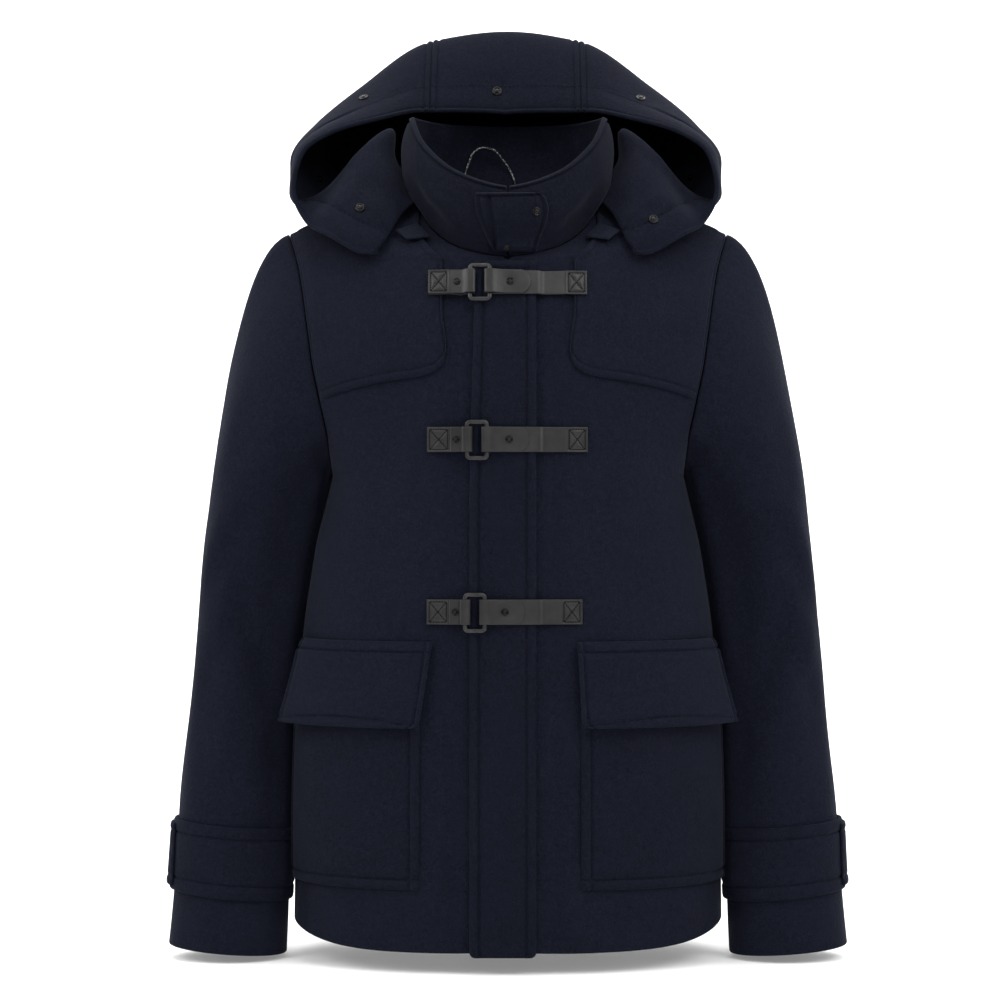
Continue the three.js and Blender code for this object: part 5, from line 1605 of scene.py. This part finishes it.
def build_studs():
    for name, (a, v, side, face, radius, stand) in HOOD_STUDS.items():
        place = lambda lift: hood_point(a, v, lift, side)
        build_stud(name, radius * 0.86, 1.9, place(face * (WALL / 2 + stand)), place(face * 20))
    for name, (x, z, radius, stand) in COLLAR_STUDS.items():
        place = lambda lift: collar_front_at(x, z, lift)
        build_stud(name, radius, 1.7, place(REST_GAP + stand), place(20))


# ---------------------------------------------------------------- hanger loop
LOOP_PATH = table(["x", "z", "stand"], [
    [-42, 43, 2.4], [-38, 58, 3.4], [-31.5, 73, 6], [-23, 77.5, 8],
    [-14, 76, 8], [-5.5, 68, 6], [2, 57, 3.4], [7, 43, 2.4],
])


# The cord's two strands. They lie round each other once in every lay.
STRAND = {"radius": 0.46, "offCentre": 0.36, "lay": 5.2, "rings": 200, "sides": 8}


def inside_collar_at(x, z, stand):
    """A point that stands off the inner face of the collar's back, at x and z."""
    h, v = np.full_like(x, 0.9), np.full_like(x, 0.5)
    for _ in range(30):
        p = collar_point(h, v, -COLLAR_WALL - stand)
        h = np.clip(h + (p[..., 0] - np.abs(x)) / COLLAR_REACH, 0.5, 1)
        v = np.clip(v + (z - p[..., 2]) / COLLAR_HEIGHT, 0, 1)
    return to_side(collar_point(h, v, -COLLAR_WALL - stand), x)


def build_loop():
    """A round two-tone cord of two strands laid round each other, sewn in at both ends."""
    t = np.linspace(0, len(LOOP_PATH["x"]) - 1, STRAND["rings"])
    line = inside_collar_at(*[eased(LOOP_PATH[k], t) for k in ("x", "z", "stand")])
    run = lengths_along(line, 0)
    ahead = unit(np.gradient(line, axis=0))
    side = unit(np.cross(ahead, [0, 1, 0]))
    over = np.cross(side, ahead)
    points, faces = [], []
    sides = STRAND["sides"]
    ring = np.linspace(0, 2 * math.pi, sides + 1)[:-1]
    circle = side[:, None] * np.cos(ring)[:, None] + over[:, None] * np.sin(ring)[:, None]
    for strand in range(2):
        phase = (run * (2 * math.pi / STRAND["lay"]) + math.pi * strand)[:, None]
        centre = line + STRAND["offCentre"] * (side * np.cos(phase) + over * np.sin(phase))
        base = len(points) * len(line) * sides
        points.append((centre[:, None] + STRAND["radius"] * circle).reshape(-1, 3))
        faces += tube_faces(len(line), sides, base) + end_faces(len(line), sides, base)
    make("cord_hanger_loop", np.concatenate(points), faces, HANGER, ["hanger_loop"])


build_fronts()
build_back()
build_sleeves()
build_cuffs()
build_collar()
build_collar_tab()
build_hood()
build_neck_tabs()
build_placket()
build_yokes()
build_pockets()
stitches_mesh("stitching_wool", CLOTH_STITCHES, THREAD)
build_fastenings()
build_studs()
build_loop()


# ---------------------------------------------------------------- stage, lights and camera
# From here on lengths are in metres. The floor lies 4 mm under the hem, and bends up behind the coat.
FLOOR = {"z": -0.6542, "half_width": 4.5, "front": -3.2, "bend_start": 2.2, "bend_radius": 1.2, "top": 4.2}
# Where each light stands, where it points, its width and height, and its power in watts.
LIGHTS = {
    "key": ((1.5, -1.9, 1.7), (0, 0, -0.15), (1.5, 1.5), 44),
    "fill": ((-1.8, -1.8, 1.6), (0, 0, -0.25), (1.5, 1.6), 37),
    "front": ((0.1, -2.7, 0.3), (0, 0, -0.25), (0.9, 0.9), 9),
    "top": ((0, -0.8, 2.4), (0, 0, -0.2), (2.4, 1.6), 35),
    "left_side": ((2.3, -0.1, 0.7), (0.2, 0, -0.3), (1.0, 2.0), 30),
    "right_side": ((-2.3, -0.1, 0.7), (-0.2, 0, -0.3), (1.0, 2.0), 32),
    "backdrop": ((0, 1.0, 2.4), (0, 3.0, 0.2), (4, 1.5), 170),
}
WHITE = (1, 1, 1, 1)


def floor_material():
    material, tree, shader, place = new_material("pale_floor")
    tint = ramp(tree, noise(tree, place, 3), [(0.3, (0.79, 0.79, 0.79)), (0.7, (0.81, 0.81, 0.81))])
    tree.links.new(tint, shader.inputs["Base Color"])
    set_inputs(shader, {"Roughness": 0.9, "Emission Color": WHITE, "Emission Strength": 0.2})
    return material


def build_stage():
    start, radius = FLOOR["bend_start"], FLOOR["bend_radius"]
    rows = [(FLOOR["front"], FLOOR["z"])]
    for angle in np.linspace(0, math.pi / 2, 17):
        rows.append((start + radius * math.sin(angle), FLOOR["z"] + radius * (1 - math.cos(angle))))
    rows.append((start + radius, FLOOR["top"]))
    points = [(x, y, z) for y, z in rows for x in (-FLOOR["half_width"], FLOOR["half_width"])]
    faces = [[2 * i, 2 * i + 1, 2 * i + 3, 2 * i + 2] for i in range(len(rows) - 1)]
    add_mesh("floor", points, faces, floor_material())


def build_lights():
    world = bpy.data.worlds.new("studio")
    world.use_nodes = True
    set_inputs(world.node_tree.nodes["Background"], {"Color": WHITE, "Strength": 0.2})
    bpy.context.scene.world = world
    for name, (place, aim, size, power) in LIGHTS.items():
        data = bpy.data.lights.new(name, "AREA")
        data.shape, data.size, data.size_y, data.energy = "RECTANGLE", *size, power
        light = add_object(name, data)
        light.location = place
        light.rotation_euler = (Vector(aim) - Vector(place)).to_track_quat("-Z", "Y").to_euler()


def build_camera():
    """A long lens at the height of the chest, 2.4 m in front, looking level. The picture is moved a little
    to one side, so that the coat stands in it as in the photo."""
    data = bpy.data.cameras.new("camera")
    data.sensor_width = 36
    data.lens = 95.24
    data.shift_x = -0.003968
    camera = add_object("camera", data)
    camera.location = (0, -2.4, -0.2511)
    camera.rotation_euler = (math.pi / 2, 0, 0)
    bpy.context.scene.camera = camera
    bpy.context.scene.view_settings.view_transform = "Standard"


build_stage()
build_lights()
build_camera()
